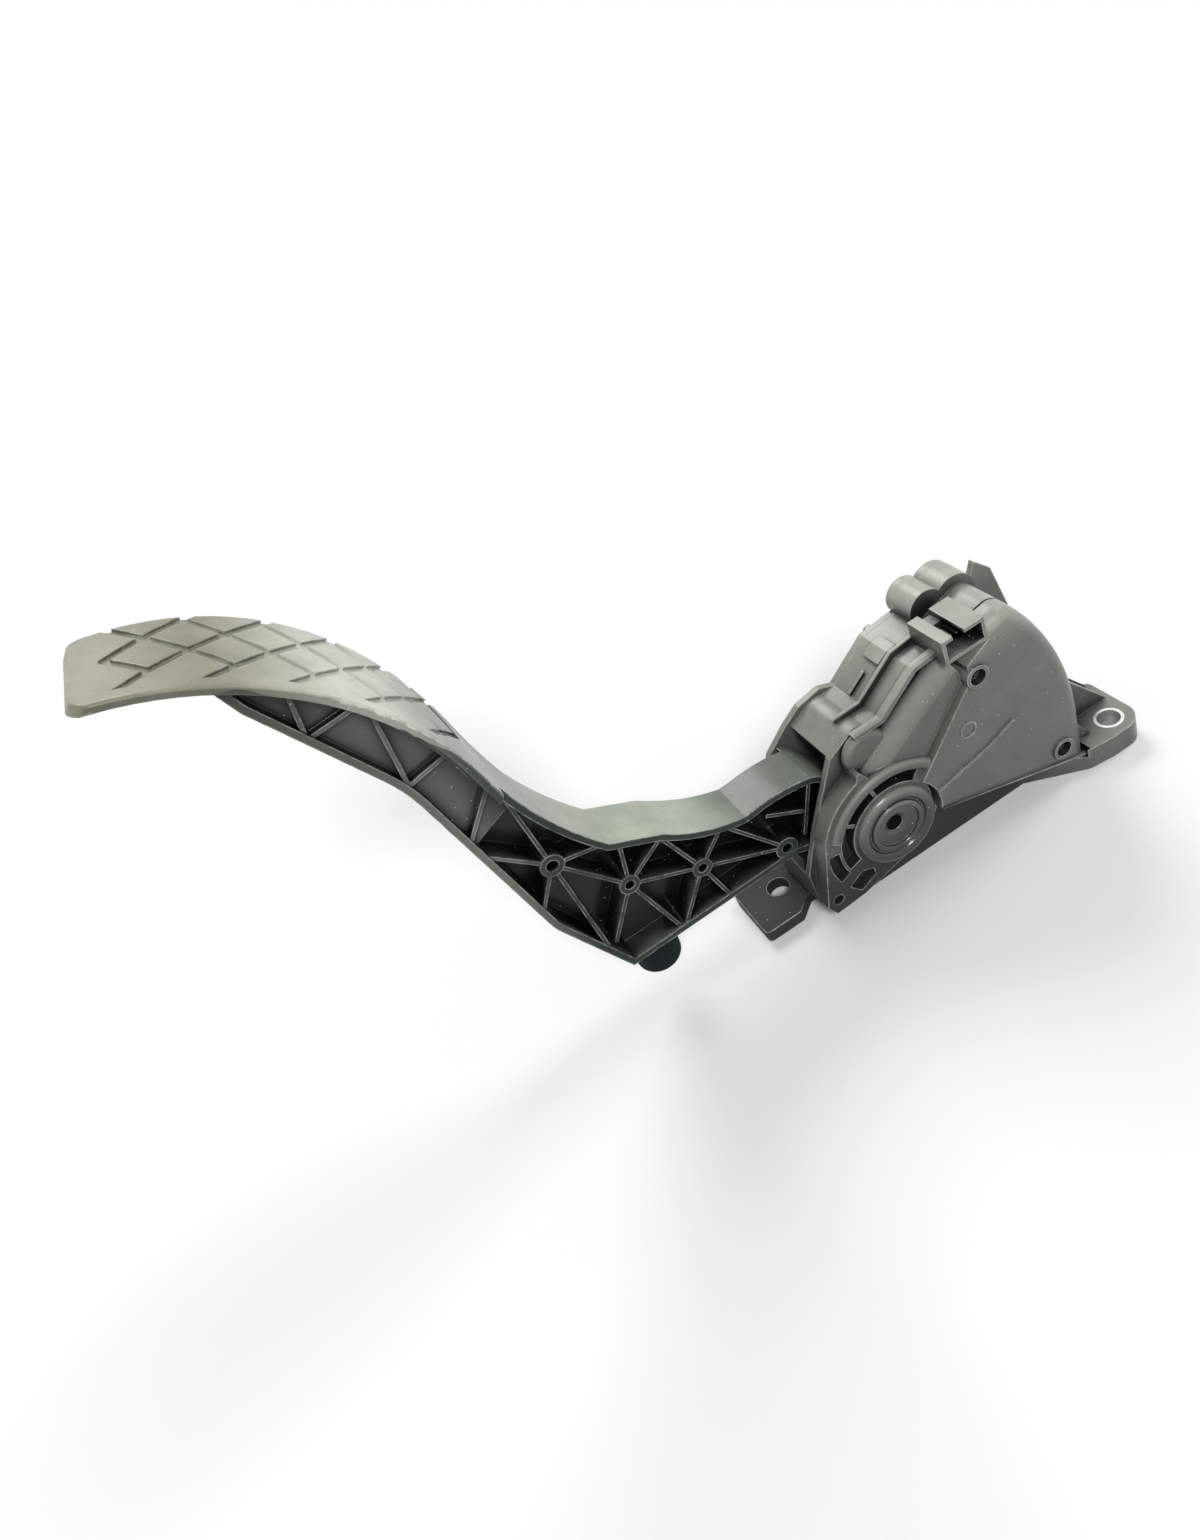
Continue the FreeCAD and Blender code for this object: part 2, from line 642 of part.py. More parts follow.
def pedal_arm():
    """Pad, flanged arm, hub drum and lever, moulded in one."""
    side = arm_side()
    half = ARM_WIDTH / 2
    solid = slab(side, -half, half)
    inner = inset(side, FLANGE)
    arm = solid.cut(slab(inner, -half, -WEB / 2)).cut(slab(inner, WEB / 2, half))
    ribs = []
    for start, end in ARM_RIBS:
        ribs.append(bar(rib_end(start), rib_end(end), RIB, -half + RIB_SETBACK, half - RIB_SETBACK))
    for x, z, radius, hole in ARM_BOSSES.values():
        ribs.append(rod_y((x, z), radius, -half + RIB_SETBACK / 2, half - RIB_SETBACK / 2))
    ribs = [rib.common(solid) for rib in ribs]
    ribs.append(slab(inner, -half + PANEL_DEPTH, 0).common(above_foot()))
    arm = arm.fuse(ribs + [pedal_pad(), lever(), rod_y((0, PIVOT_Z), DRUM_RADIUS, -half, half)])
    cuts = [rod_y((0, PIVOT_Z), HUB_BORE, -half - 1, half + 1)]
    for x, z, radius, hole in ARM_BOSSES.values():
        cuts.append(rod_y((x, z), hole, -half - 1, -half + BOSS_DEPTH))
        cuts.append(rod_y((x, z), hole, half - BOSS_DEPTH, half + 1))
    cuts.append(rod_z(BUMPER_X, 0, BUMPER_STEM, bumper_seat_z() - 1, stem_top_z()))
    cuts.append(rod_z(BUMPER_X, 0, BUMPER_TOP_RADIUS + SEAT_GAP, BUMPER_END_Z, TOE[1] + 0.2))
    cuts.append(root_taper())
    return arm.cut(cuts).removeSplitter()


def root_taper():
    """The room on the arm's far side, where its root is drawn in from full width."""
    half = ARM_WIDTH / 2
    inner = [(x, half - depth) for x, depth in ROOT_TAPER]
    outer = [(ROOT_TAPER[-1][0], half + 1), (ROOT_TAPER[0][0], half + 1)]
    return plate_xy(inner + outer, 0, BEND_START[1])


def hub_bushes():
    """Two plastic bushes pressed into the arm's hub, one from each side."""
    half = ARM_WIDTH / 2
    bushes = []
    for y0, y1 in ((-half, -half + BUSH_LENGTH), (half - BUSH_LENGTH, half)):
        outer = rod_y((0, PIVOT_Z), HUB_BORE, y0, y1)
        bushes.append(outer.cut(rod_y((0, PIVOT_Z), HUB_BORE - BUSH_WALL, y0 - 1, y1 + 1)))
    return Part.makeCompound(bushes)


def stop_bumper():
    """Tapered rubber bumper under the arm, held by its stem."""
    top = TOE[1]
    cone = Part.makeCone(BUMPER_END_RADIUS, BUMPER_TOP_RADIUS, top - BUMPER_END_Z, V(BUMPER_X, 0, BUMPER_END_Z))
    low = [edge for edge in cone.Edges if edge.BoundBox.ZMax < BUMPER_END_Z + 0.01]
    cone = cone.makeFillet(BUMPER_ROUND, low)
    stem = rod_z(BUMPER_X, 0, BUMPER_STEM, top - 1, stem_top_z())
    return cone.fuse(stem).removeSplitter()


def plug_profile(disc_depth, wall_depth, depth):
    """Half of a plug's section: radii against depths below its face, from the hole round to the trunnion."""
    rim = PLUG_DISC
    edge = PLUG_EDGE
    ring_out = PLUG_RING + PLUG_RING_HALF
    foot = ring_out + PLUG_GROOVE_WIDTH
    ring_in = PLUG_RING - PLUG_RING_HALF
    trunnion = HUB_BORE - BUSH_WALL - RUNNING_GAP

    def steps(points):
        return run([(radius, -below) for radius, below in points])

    def bow(start, middle, end):
        return arc((start[0], -start[1]), (middle[0], -middle[1]), (end[0], -end[1]))

    hole = [(0, PLUG_HOLE_DEPTH), (PLUG_HOLE, PLUG_HOLE_DEPTH), (PLUG_HOLE, PLUG_DISH + 1)]
    edges = steps(hole + [(PLUG_MOUTH, PLUG_DISH), (ring_in, PLUG_GROOVE)])
    edges.append(bow((ring_in, PLUG_GROOVE), (PLUG_RING, 0), (ring_out, PLUG_GROOVE)))
    edges += steps([(ring_out, PLUG_GROOVE), (foot, PLUG_GROOVE)])
    edges.append(bow((foot, PLUG_GROOVE), ((foot + rim) / 2, 0), (rim, edge)))
    outside = [(rim, edge), (rim, disc_depth), (PLUG_SHANK, disc_depth), (PLUG_SHANK, wall_depth)]
    edges += steps(outside + [(trunnion, wall_depth), (trunnion, depth), (0, depth), (0, PLUG_HOLE_DEPTH)])
    return face_of(edges)


def pivot_plug(outward, face_y, disc_y, inner_y):
    """A stub axle: disc, shank through the housing wall and trunnion in the hub's bush, turned in one."""
    wall_depth = abs(face_y - inner_y)
    plug = plug_profile(abs(face_y - disc_y), wall_depth, wall_depth + BUSH_LENGTH)
    plug = plug.revolve(V(0, 0, 0), V(0, 0, 1), 360)
    plug.rotate(V(0, 0, 0), V(1, 0, 0), -90 * outward)
    return plug.translated(pivot(face_y))


def crown_run():
    """The housing's top line from the shelf to the outer arc."""
    return [CROWN_CORNER + (CROWN_ROUND,), ARC_TOP]


def tub_side():
    """The housing's outline in side view, closed on the pad's side."""
    corner = [(BASE_LEFT + BASE_CUT[0], 0), (BASE_LEFT, BASE_CUT[1])]
    front = [(ARC_LOW[0], 0)] + corner + [(BASE_LEFT, SILL_TOP), FLANK_TOP, BROW]
    roof = [LEDGE_START, LEDGE_END, SLOPE_END, SHELF_END]
    return face_of([arc(ARC_TOP, ARC_MID, ARC_LOW)] + run([ARC_LOW] + front + roof + crown_run()))


def near_block_side():
    """The near block's outline: bracket, flank, collar, shoulder and the seam along the sensor cover."""
    start = math.radians(158)
    left = (COLLAR_RADIUS * math.cos(start), PIVOT_Z + COLLAR_RADIUS * math.sin(start))
    middle_turn = math.radians(133)
    middle = (COLLAR_RADIUS * math.cos(middle_turn), PIVOT_Z + COLLAR_RADIUS * math.sin(middle_turn))
    top_turn = math.radians(108)
    top = (COLLAR_RADIUS * math.cos(top_turn), PIVOT_Z + COLLAR_RADIUS * math.sin(top_turn))
    low = (SLOT_INNER * 0.96, PIVOT_Z - SLOT_INNER * 0.28)
    under = (0.0, PIVOT_Z - SLOT_INNER)
    edges = [
        line(BRACKET_CORNER, left),
        arc(left, middle, top),
        line(top, (BARREL_X - BARREL_RADIUS, BARREL_Z - BARREL_RADIUS * 0.3)),
        line((BARREL_X - BARREL_RADIUS, BARREL_Z - BARREL_RADIUS * 0.3), SHOULDER_LOW),
        line(SHOULDER_LOW, SHOULDER_TOP),
        line(SHOULDER_TOP, SEAM_HIGH),
        line(SEAM_HIGH, SEAM_LOW),
        line(SEAM_LOW, low),
        line(low, (SLOT_INNER * 0.6, PIVOT_Z - SLOT_INNER * 0.8)),
        line((SLOT_INNER * 0.6, PIVOT_Z - SLOT_INNER * 0.8), under),
        line(under, BRACKET_HEEL),
        line(BRACKET_HEEL, BRACKET_FOOT),
        line(BRACKET_FOOT, BRACKET_CORNER),
    ]
    return face_of(edges)


def over_shoulder(lower=0.0):
    """The space over the rounded shoulder, or the same space let down by a wall."""
    start = in_side(SHOULDER_LOW)
    along = (in_side(SHOULDER_TOP) - start).normalize()
    inward = V(along.z, 0, -along.x)
    run_out = SHOULDER_REACH

    def place(reach, y):
        return start - along * run_out + inward * (reach + lower) + V(0, y + lower, 0)

    low = BLOCK_FACE + SHOULDER_DROP
    bulge = math.sqrt(0.5)
    middle = place(SHOULDER_REACH * (1 - bulge), BLOCK_FACE + SHOULDER_DROP * (1 - bulge))
    edges = [
        Part.Arc(place(0, low), middle, place(SHOULDER_REACH, BLOCK_FACE)),
        Part.LineSegment(place(SHOULDER_REACH, BLOCK_FACE), place(SHOULDER_REACH, BLOCK_FACE - WALL * 2)),
        Part.LineSegment(place(SHOULDER_REACH, BLOCK_FACE - WALL * 2), place(-WALL * 2, BLOCK_FACE - WALL * 2)),
        Part.LineSegment(place(-WALL * 2, BLOCK_FACE - WALL * 2), place(-WALL * 2, low)),
        Part.LineSegment(place(-WALL * 2, low), place(0, low)),
    ]
    face = face_of([edge.toShape() for edge in edges])
    reach = (in_side(SHOULDER_TOP) - start).Length + 2 * run_out
    return face.extrude(along * reach)


def bracket_pockets():
    """The two pockets in the bracket's face: one beside the slot's end, one over the heel."""
    floor = BLOCK_FACE + POCKET_DEPTH
    inner = COLLAR_INNER + POCKET_WALL
    upper = ring_sector(inner, COLLAR_RADIUS - POCKET_WALL, POCKET_START, POCKET_SWEEP, BLOCK_FACE - 1, floor)
    low = slab(rounded([(x, PIVOT_Z + z, 0.8) for x, z in LOW_POCKET]), BLOCK_FACE - 1, floor)
    return [upper, low]


def near_block():
    """Collar, shoulder and bracket that stand off the near wall."""
    side = near_block_side()
    block = slab(side, BLOCK_FACE, NEAR_WALL).cut(over_shoulder())
    hollow = slab(inset(side, WALL), BLOCK_FACE + WALL, NEAR_WALL + 0.01).cut(over_shoulder(WALL))
    bracket = box(BRACKET_CORNER[0], BRACKET_END_X, BLOCK_FACE, NEAR_WALL, 0, PIVOT_Z)
    block = block.cut(hollow.cut(bracket))
    seat = rod_y((0, PIVOT_Z), COLLAR_INNER, BLOCK_FACE, NEAR_WALL)
    block = block.fuse(seat.common(slab(side, BLOCK_FACE, NEAR_WALL)))
    crest = BLOCK_FACE - COLLAR_RISE
    outside = COLLAR_RADIUS - COLLAR_RISE
    collar = ring_sector(COLLAR_INNER, outside, COLLAR_START, COLLAR_SWEEP, crest, BLOCK_FACE + 1)
    edges = [edge for edge in collar.Edges if edge.BoundBox.YMax < crest + 0.01]
    collar = collar.makeFillet(COLLAR_ROUND, [edge for edge in edges if edge.Length > COLLAR_RADIUS])
    floor = BLOCK_FACE + SLOT_DEPTH
    slot = ring_sector(SLOT_INNER, COLLAR_INNER, SLOT_START, SLOT_SWEEP, BLOCK_FACE - 1, floor)
    bridges = []
    for angle in (103, 145):
        turn = math.radians(angle)
        inner = (SLOT_INNER * math.cos(turn), PIVOT_Z + SLOT_INNER * math.sin(turn))
        outer = (COLLAR_INNER * math.cos(turn), PIVOT_Z + COLLAR_INNER * math.sin(turn))
        bridges.append(bar(inner, outer, RIB, BLOCK_FACE + 0.6, BLOCK_FACE + SLOT_DEPTH))
    block = block.fuse(collar).cut([slot] + bracket_pockets()).fuse(bridges)
    return block.cut(rod_y(BRACKET_HOLE, BRACKET_HOLE_RADIUS, BLOCK_FACE - 1, NEAR_WALL))


def front_strip(points, near, width, rise):
    """A strip raised from the housing's front along side-view points."""
    lifted = [(point[0] - rise * FRONT_LEAN, point[1] + rise) for point in points]
    return slab(rounded(list(points) + lifted[::-1]), near, near + width), lifted


def joins(edge, points):
    """Whether an edge runs from one to another of some side-view points, at one Y."""
    ends = [vertex.Point for vertex in edge.Vertexes]
    if edge.BoundBox.YLength > 0.01:
        return False
    return all(min((end - in_side(point, end.y)).Length for point in points) < 0.01 for end in ends)


def front_ribs():
    """The ridge, the long fin, the short fin and the tab on the housing's front face."""
    dog_leg = [LEDGE_START, LEDGE_END, SLOPE_END, SHELF_END]
    ribs = []
    for near, width, rise in (FRONT_RIDGE, FRONT_FIN):
        strip, lifted = front_strip(dog_leg, near, width, rise)
        crest = [edge for edge in strip.Edges if joins(edge, lifted)]
        ribs.append(strip.makeFillet(width * FRONT_RIB_SHARE, crest))
    ribs.append(front_strip(SHORT_FIN_ENDS, *SHORT_FIN)[0])
    ribs.append(front_strip(FRONT_TAB_ENDS, *FRONT_TAB)[0])
    return ribs


def barrel():
    """The rolled brow over the arm's opening, with three raised bands and a rounded near end."""
    near = BARREL_NEAR_Y
    place = (BARREL_X, BARREL_Z)
    band = BARREL_RADIUS + BARREL_BAND
    first = FRONT_RIDGE[0] + FRONT_RIDGE[1]
    second = FRONT_FIN[0]
    end = rod_y(place, band, near, first)
    rim = [edge for edge in end.Edges if edge.BoundBox.YMax < near + 0.01]
    pieces = [end.makeFillet(BARREL_END_ROUND, rim)]
    pieces.append(rod_y(place, BARREL_RADIUS, near + BARREL_END_ROUND, FAR_INNER))
    for y0, y1 in ((first + BARREL_GAP, second), (second + BARREL_GAP, FAR_INNER)):
        ring = rod_y(place, band, y0, y1)
        rims = [edge for edge in ring.Edges if edge.BoundBox.YLength < 0.01]
        pieces.append(ring.makeFillet(BARREL_EASE, rims))
    return pieces


def connector_block():
    """The connector's shroud, before its mouth is cut."""
    return box(PLUG_LEFT, PLUG_RIGHT, NEAR_FACE, NEAR_FACE + PLUG_LENGTH, PLUG_BOTTOM, PLUG_TOP)


def connector_mouth():
    """The mouth and the latch slot, open towards the near side."""
    mouth = box(
        PLUG_LEFT + PLUG_WALL,
        PLUG_RIGHT - PLUG_WALL,
        NEAR_FACE - 1,
        NEAR_FACE + PLUG_CAVITY,
        PLUG_BOTTOM + PLUG_WALL,
        PLUG_TOP - PLUG_WALL,
    )
    latch = box(
        LATCH_LEFT,
        LATCH_RIGHT,
        NEAR_FACE - 1,
        NEAR_FACE + PLUG_LENGTH + 0.1,
        PLUG_TOP - PLUG_WALL - 1.2,
        PLUG_TOP + 1,
    )
    return [mouth, latch]


def pin_places():
    """The X positions of the connector's terminals."""
    left = PLUG_LEFT + PLUG_WALL
    pitch = (PLUG_RIGHT - PLUG_LEFT - 2 * PLUG_WALL) / PIN_COUNT
    return [left + pitch * (i + 0.5) for i in range(PIN_COUNT)]


def connector_terminals():
    """Flat terminals standing in the connector's back wall."""
    back = NEAR_FACE + PLUG_CAVITY
    middle = (PLUG_BOTTOM + PLUG_TOP) / 2
    pins = []
    for x in pin_places():
        pins.append(
            box(
                x - PIN_WIDTH / 2,
                x + PIN_WIDTH / 2,
                back - PIN_REACH,
                back + PIN_BURIED,
                middle - PIN_THICKNESS / 2,
                middle + PIN_THICKNESS / 2,
            )
        )
    return Part.makeCompound(pins)


def plate_xy(corners, z0, z1):
    """A flat plate from plan corners (x, y) or (x, y, radius)."""
    face = rounded(corners)
    face.rotate(V(0, 0, 0), V(1, 0, 0), -90)
    return face.translated(V(0, 0, z0)).extrude(V(0, 0, z1 - z0))


def ears():
    """The near mounting ear, the lower lug and the far ear, all on the mounting face."""
    near = plate_xy(
        [
            (60.0, NEAR_WALL + WALL),
            (60.0, NEAR_WALL),
            (82.0, EAR_NEAR_Y + 1.5, 8.0),
            (92.0, EAR_NEAR_Y, 6.0),
            (EAR_END_X, EAR_NEAR_Y, EAR_CORNER),
            (EAR_END_X, EAR_FAR_Y, 4.0),
            (80.0, EAR_FAR_Y),
        ],
        0,
        EAR_THICKNESS,
    )
    lug = plate_xy(
        [
            (LUG_ROOT_X, LUG_NEAR_Y + LUG_STEP),
            (LUG_ROOT_X, LUG_FAR_Y),
            (LUG_END_X, LUG_FAR_Y, 4.0),
            (LUG_END_X, LUG_NEAR_Y, 2.0),
            (BASE_LEFT - 7, LUG_NEAR_Y, 2.0),
            (BASE_LEFT, LUG_NEAR_Y + LUG_STEP),
        ],
        0,
        LUG_THICKNESS,
    )
    half = FAR_EAR_WIDTH / 2
    far = plate_xy(
        [
            (FAR_EAR[0] - half, FAR_INNER - WALL),
            (FAR_EAR[0] + half, FAR_INNER - WALL),
            (FAR_EAR[0] + half, FAR_EAR[1] + half * 0.8, 9.0),
            (FAR_EAR[0] - half, FAR_EAR[1] + half * 0.8, 9.0),
        ],
        0,
        EAR_THICKNESS,
    )
    return [near, lug, far]


def bushing_places():
    """Plan positions of the steel mounting bushings."""
    return [NEAR_EAR, FAR_EAR]


def mounting_bushings():
    """Steel compression bushings moulded into the two ears."""
    rings = []
    for x, y in bushing_places():
        outer = rod_z(x, y, BUSHING_OUTER, 0, BUSHING_HEIGHT)
        rings.append(outer.cut(rod_z(x, y, BUSHING_INNER, -1, BUSHING_HEIGHT + 1)))
    return Part.makeCompound(rings)


def gussets():
    """Ribs that tie the ears to the housing's back."""
    y = EAR_FAR_Y - 13.0
    ear_side = rounded([(80.0, EAR_THICKNESS - 1), (EAR_END_X - 1, EAR_THICKNESS - 1), (81.5, PIVOT_Z + 10)])
    ribs = [slab(ear_side, y, y + 2.4), slab(ear_side, EAR_FAR_Y - 2.4, EAR_FAR_Y)]
    low = rounded([(80.0, EAR_THICKNESS - 1), (90.0, EAR_THICKNESS - 1), (82.0, PIVOT_Z - 10)])
    ribs.append(slab(low, NEAR_WALL - 6, NEAR_WALL - 4))
    return ribs


def spring_rail():
    """Two ribs under the roof that carry the upper spring seat."""
    roof = PIVOT_Z + 60.0
    rails = []
    for y in (-CUP_RADIUS * 0.6, CUP_RADIUS * 0.6):
        rails.append(box(SPRING_X - CUP_RADIUS, SPRING_X + CUP_RADIUS, y - 1, y + 1, SEAT_Z + SEAT_DISC, roof))
    return rails


def housing_body():
    """Near wall, perimeter, base, ears, near block, connector and front ribs, moulded in one."""
    side = tub_side()
    tub = slab(side, NEAR_WALL, FAR_INNER)
    hollow = slab(inset(side, WALL), NEAR_INNER, FAR_INNER + 1)
    opening = rounded([(BASE_LEFT - 9, SILL_TOP)] + ARM_DOORWAY)
    tub = tub.cut([hollow, slab(opening, NEAR_INNER, FAR_INNER + 1)])
    inside = slab(side, NEAR_INNER - 0.5, FAR_INNER)
    rails = [rail.common(inside) for rail in spring_rail()]
    saddle_outer = DRUM_RADIUS + SEAT_GAP + FRICTION_THICKNESS
    reach = FRICTION_SPREAD * 0.3
    saddle = box(-reach, reach, NEAR_INNER - 0.5, FAR_INNER, 1.0, PIVOT_Z - DRUM_RADIUS)
    saddle = saddle.cut(rod_y((0, PIVOT_Z), saddle_outer, NEAR_INNER - 1, FAR_INNER + 1))
    stop_x = LEVER_REACH - REST_PAD_LENGTH - 1
    stop_top = rest_pad_bottom()
    stop = box(stop_x, stop_x + REST_PAD_LENGTH, NEAR_INNER - 0.5, FAR_INNER, 1.0, stop_top)
    cover_hollow = slab(inset(cover_side(), COVER_WALL + 0.8 + SEAT_GAP), NEAR_FACE, NEAR_WALL + 1)
    post_top = NEAR_FACE + COVER_WALL + SCREW_SINK
    post = SCREW_BOSS_RADIUS - 0.6
    posts = [rod_y(spot, post, post_top, NEAR_WALL + 1).common(cover_hollow) for spot in SCREW_BOSSES]
    posts += [rod_y(spot, 2.2, board_far(), NEAR_WALL + 1) for spot in board_posts()]
    lobes = [rod_y((x, z), radius, LOBE_START_Y, FAR_INNER) for x, z, radius in LOBES]
    far_posts = [rod_y(spot, FAR_POST, NEAR_INNER - 0.5, FAR_INNER).common(inside) for spot in FAR_SCREWS]
    block = near_block()
    parts = [block, connector_block()] + rails + [saddle, stop] + lobes + far_posts
    parts += ears() + gussets() + barrel() + front_ribs()
    cover_room = slab(grown(cover_side(), SEAT_GAP), NEAR_FACE - COLLAR_RISE, NEAR_WALL)
    body = tub.fuse(parts).cut(cover_room).fuse(posts)
    arm_path = slab(arm_path_side(), NEAR_INNER, FAR_INNER + 1)
    cuts = connector_mouth() + [arm_path]
    for x, y in bushing_places():
        cuts.append(rod_z(x, y, BUSHING_OUTER, -1, BUSHING_HEIGHT + 8))
    cuts.append(rod_z(LUG_HOLE[0], LUG_HOLE[1], LUG_HOLE_RADIUS, -1, LUG_THICKNESS + 1))
    cuts.append(rod_y((0, PIVOT_Z), PLUG_SHANK, NEAR_FACE - 1, NEAR_INNER + 0.5))
    cuts.append(rod_y(BRACKET_HOLE, BRACKET_HOLE_RADIUS, NEAR_WALL - 1, NEAR_INNER + 1))
    for x, z in SCREW_BOSSES:
        cuts.append(rod_y((x, z), SCREW_SHANK, NEAR_FACE, NEAR_WALL + WALL * 0.6))
    for x, z in FAR_SCREWS:
        cuts.append(rod_y((x, z), SCREW_SHANK, FAR_INNER - 9.0, FAR_INNER + 1))
    cuts += connector_terminals().Solids
    return body.cut(cuts).removeSplitter()


def arm_path_side():
    """The side-view room that the hub drum turns in."""
    radius = DRUM_RADIUS + SEAT_GAP
    edges = [
        arc((radius, PIVOT_Z), (0, PIVOT_Z + radius), (-radius, PIVOT_Z)),
        arc((-radius, PIVOT_Z), (0, PIVOT_Z - radius), (radius, PIVOT_Z)),
    ]
    return face_of(edges)


def rest_pad_bottom():
    """The height of the stop that carries the rest pad."""
    middle = LEVER_REACH - 1 - REST_PAD_LENGTH / 2
    share = (middle - SPRING_X) / (LEVER_REACH - SPRING_X)
    low = LEVER_BOTTOM + share * (LEVER_TIP_BOTTOM - LEVER_BOTTOM)
    return low - 2.2 - REST_PAD_THICKNESS


def rest_stop_pad():
    """Rubber pad on which the lever rests when the pedal is released."""
    x = LEVER_REACH - REST_PAD_LENGTH - 1
    low = rest_pad_bottom()
    return box(x, x + REST_PAD_LENGTH, -ARM_WIDTH / 2 + 2, ARM_WIDTH / 2 - 2, low, low + REST_PAD_THICKNESS)


def friction_pad():
    """Curved friction lining under the hub drum."""
    inner = DRUM_RADIUS + SEAT_GAP
    start = 270 - FRICTION_SPREAD / 2
    half = ARM_WIDTH / 2 - 1
    return ring_sector(inner, inner + FRICTION_THICKNESS, start, FRICTION_SPREAD, -half, half)


def cover_side():
    """The sensor cover's outline: a sector about the pivot, notched for the connector."""
    hub = SLOT_INNER + 0.6
    gap = SEAT_GAP
    low = (hub * math.cos(math.radians(-14)), PIVOT_Z + hub * math.sin(math.radians(-14)))
    high = (hub * math.cos(math.radians(43)), PIVOT_Z + hub * math.sin(math.radians(43)))
    middle = (hub * math.cos(math.radians(14)), PIVOT_Z + hub * math.sin(math.radians(14)))
    notch_x = PLUG_RIGHT + gap
    boss_left = (SEAM_HIGH[0] + gap * 2, SEAM_HIGH[1])
    notch = [(notch_x, PLUG_BOTTOM - gap), (notch_x, PIVOT_Z + 60.5)]
    seam = [high, boss_left, (boss_left[0], PIVOT_Z + 49.3)]
    edges = [arc(ARC_TOP, ARC_MID, ARC_LOW)] + run([ARC_LOW, COVER_LOW_RIGHT, low])
    edges += [arc(low, middle, high)] + run(seam + notch + crown_run())
    base = face_of(edges)
    discs = [face_of([Part.makeCircle(SCREW_BOSS_RADIUS, in_side(spot), V(0, 1, 0))]) for spot in SCREW_BOSSES]
    return Part.Face(base.fuse(discs).removeSplitter().Faces[0].OuterWire)


def sensor_cover():
    """Moulded cover over the sensor, with a rolled outer edge, screw bosses and trim ribs."""
    side = cover_side()
    cover = slab(side, NEAR_FACE, NEAR_WALL - GASKET)
    rim = []
    for edge in cover.Edges:
        bounds = edge.BoundBox
        if bounds.YMax < NEAR_FACE + 0.01 and (edge.Length > 50 and bounds.XMin > ARC_TOP[0] - 0.1):
            rim.append(edge)
    cover = cover.makeFillet(COVER_EDGE_ROUND, rim)
    hollow = slab(inset(side, COVER_WALL + 0.8), NEAR_FACE + COVER_WALL, NEAR_WALL)
    cover = cover.cut(hollow)
    inside = slab(side, NEAR_FACE - 2, NEAR_WALL - GASKET)
    post_end = NEAR_FACE + COVER_WALL + SCREW_SINK
    posts = [rod_y(spot, SCREW_BOSS_RADIUS, NEAR_FACE - SCREW_BOSS_RISE, post_end) for spot in SCREW_BOSSES]
    crest = NEAR_FACE - TRIM_RISE
    trims = [bar(COVER_LOW_LEFT, COVER_LOW_RIGHT, TRIM_RIB * 1.4, crest, NEAR_FACE + 1).common(inside)]
    for start, end in zip(FACE_RIB, FACE_RIB[1:]):
        trims.append(bar(start, end, TRIM_RIB, crest, NEAR_FACE + 1).common(inside))
    mark = rod_y(MARK_AT, MARK_RADIUS, NEAR_FACE - MARK_RISE, NEAR_FACE + 1)
    mark = mark.cut(rod_y(MARK_AT, MARK_RADIUS - MARK_WIDTH, NEAR_FACE - 1, NEAR_FACE + 2))
    cover = cover.fuse(posts + trims + [mark])
    cuts = []
    for spot in SCREW_BOSSES:
        cuts.append(rod_y(spot, SCREW_HEAD + SEAT_GAP, NEAR_FACE - 2, NEAR_FACE + SCREW_SINK))
        cuts.append(rod_y(spot, SCREW_SHANK, NEAR_FACE, NEAR_WALL))
    return cover.cut(cuts).removeSplitter()


def cover_gasket():
    """Flat seal between the sensor cover and the near wall."""
    side = cover_side()
    seal = slab(side, NEAR_WALL - GASKET, NEAR_WALL)
    seal = seal.cut(slab(inset(side, COVER_WALL + 0.8), NEAR_WALL - 1, NEAR_WALL + 1))
    return seal.cut([rod_y(spot, SCREW_SHANK, NEAR_WALL - 1, NEAR_WALL + 1) for spot in SCREW_BOSSES])


def screw(point, seat_y, inward, length):
    """A pan-head screw with a cross recess, its head's underside at seat_y."""
    head = Part.makeCylinder(SCREW_HEAD, SCREW_HEAD_HEIGHT, in_side(point, seat_y), V(0, -inward, 0))
    shank = Part.makeCylinder(SCREW_SHANK, length, in_side(point, seat_y), V(0, inward, 0))
    tip_y = seat_y - inward * SCREW_HEAD_HEIGHT
    low, high = sorted((tip_y - 1, tip_y + 1))
    slots = [
        box(point[0] - 2, point[0] + 2, low, high, point[1] - 0.4, point[1] + 0.4),
        box(point[0] - 0.4, point[0] + 0.4, low, high, point[1] - 2, point[1] + 2),
    ]
    return head.fuse(shank).cut(slots)


def cover_screws():
    """The screws that hold the sensor cover."""
    seat = NEAR_FACE + SCREW_SINK
    length = NEAR_WALL + WALL * 0.6 - seat
    return Part.makeCompound([screw(spot, seat, 1, length) for spot in SCREW_BOSSES])


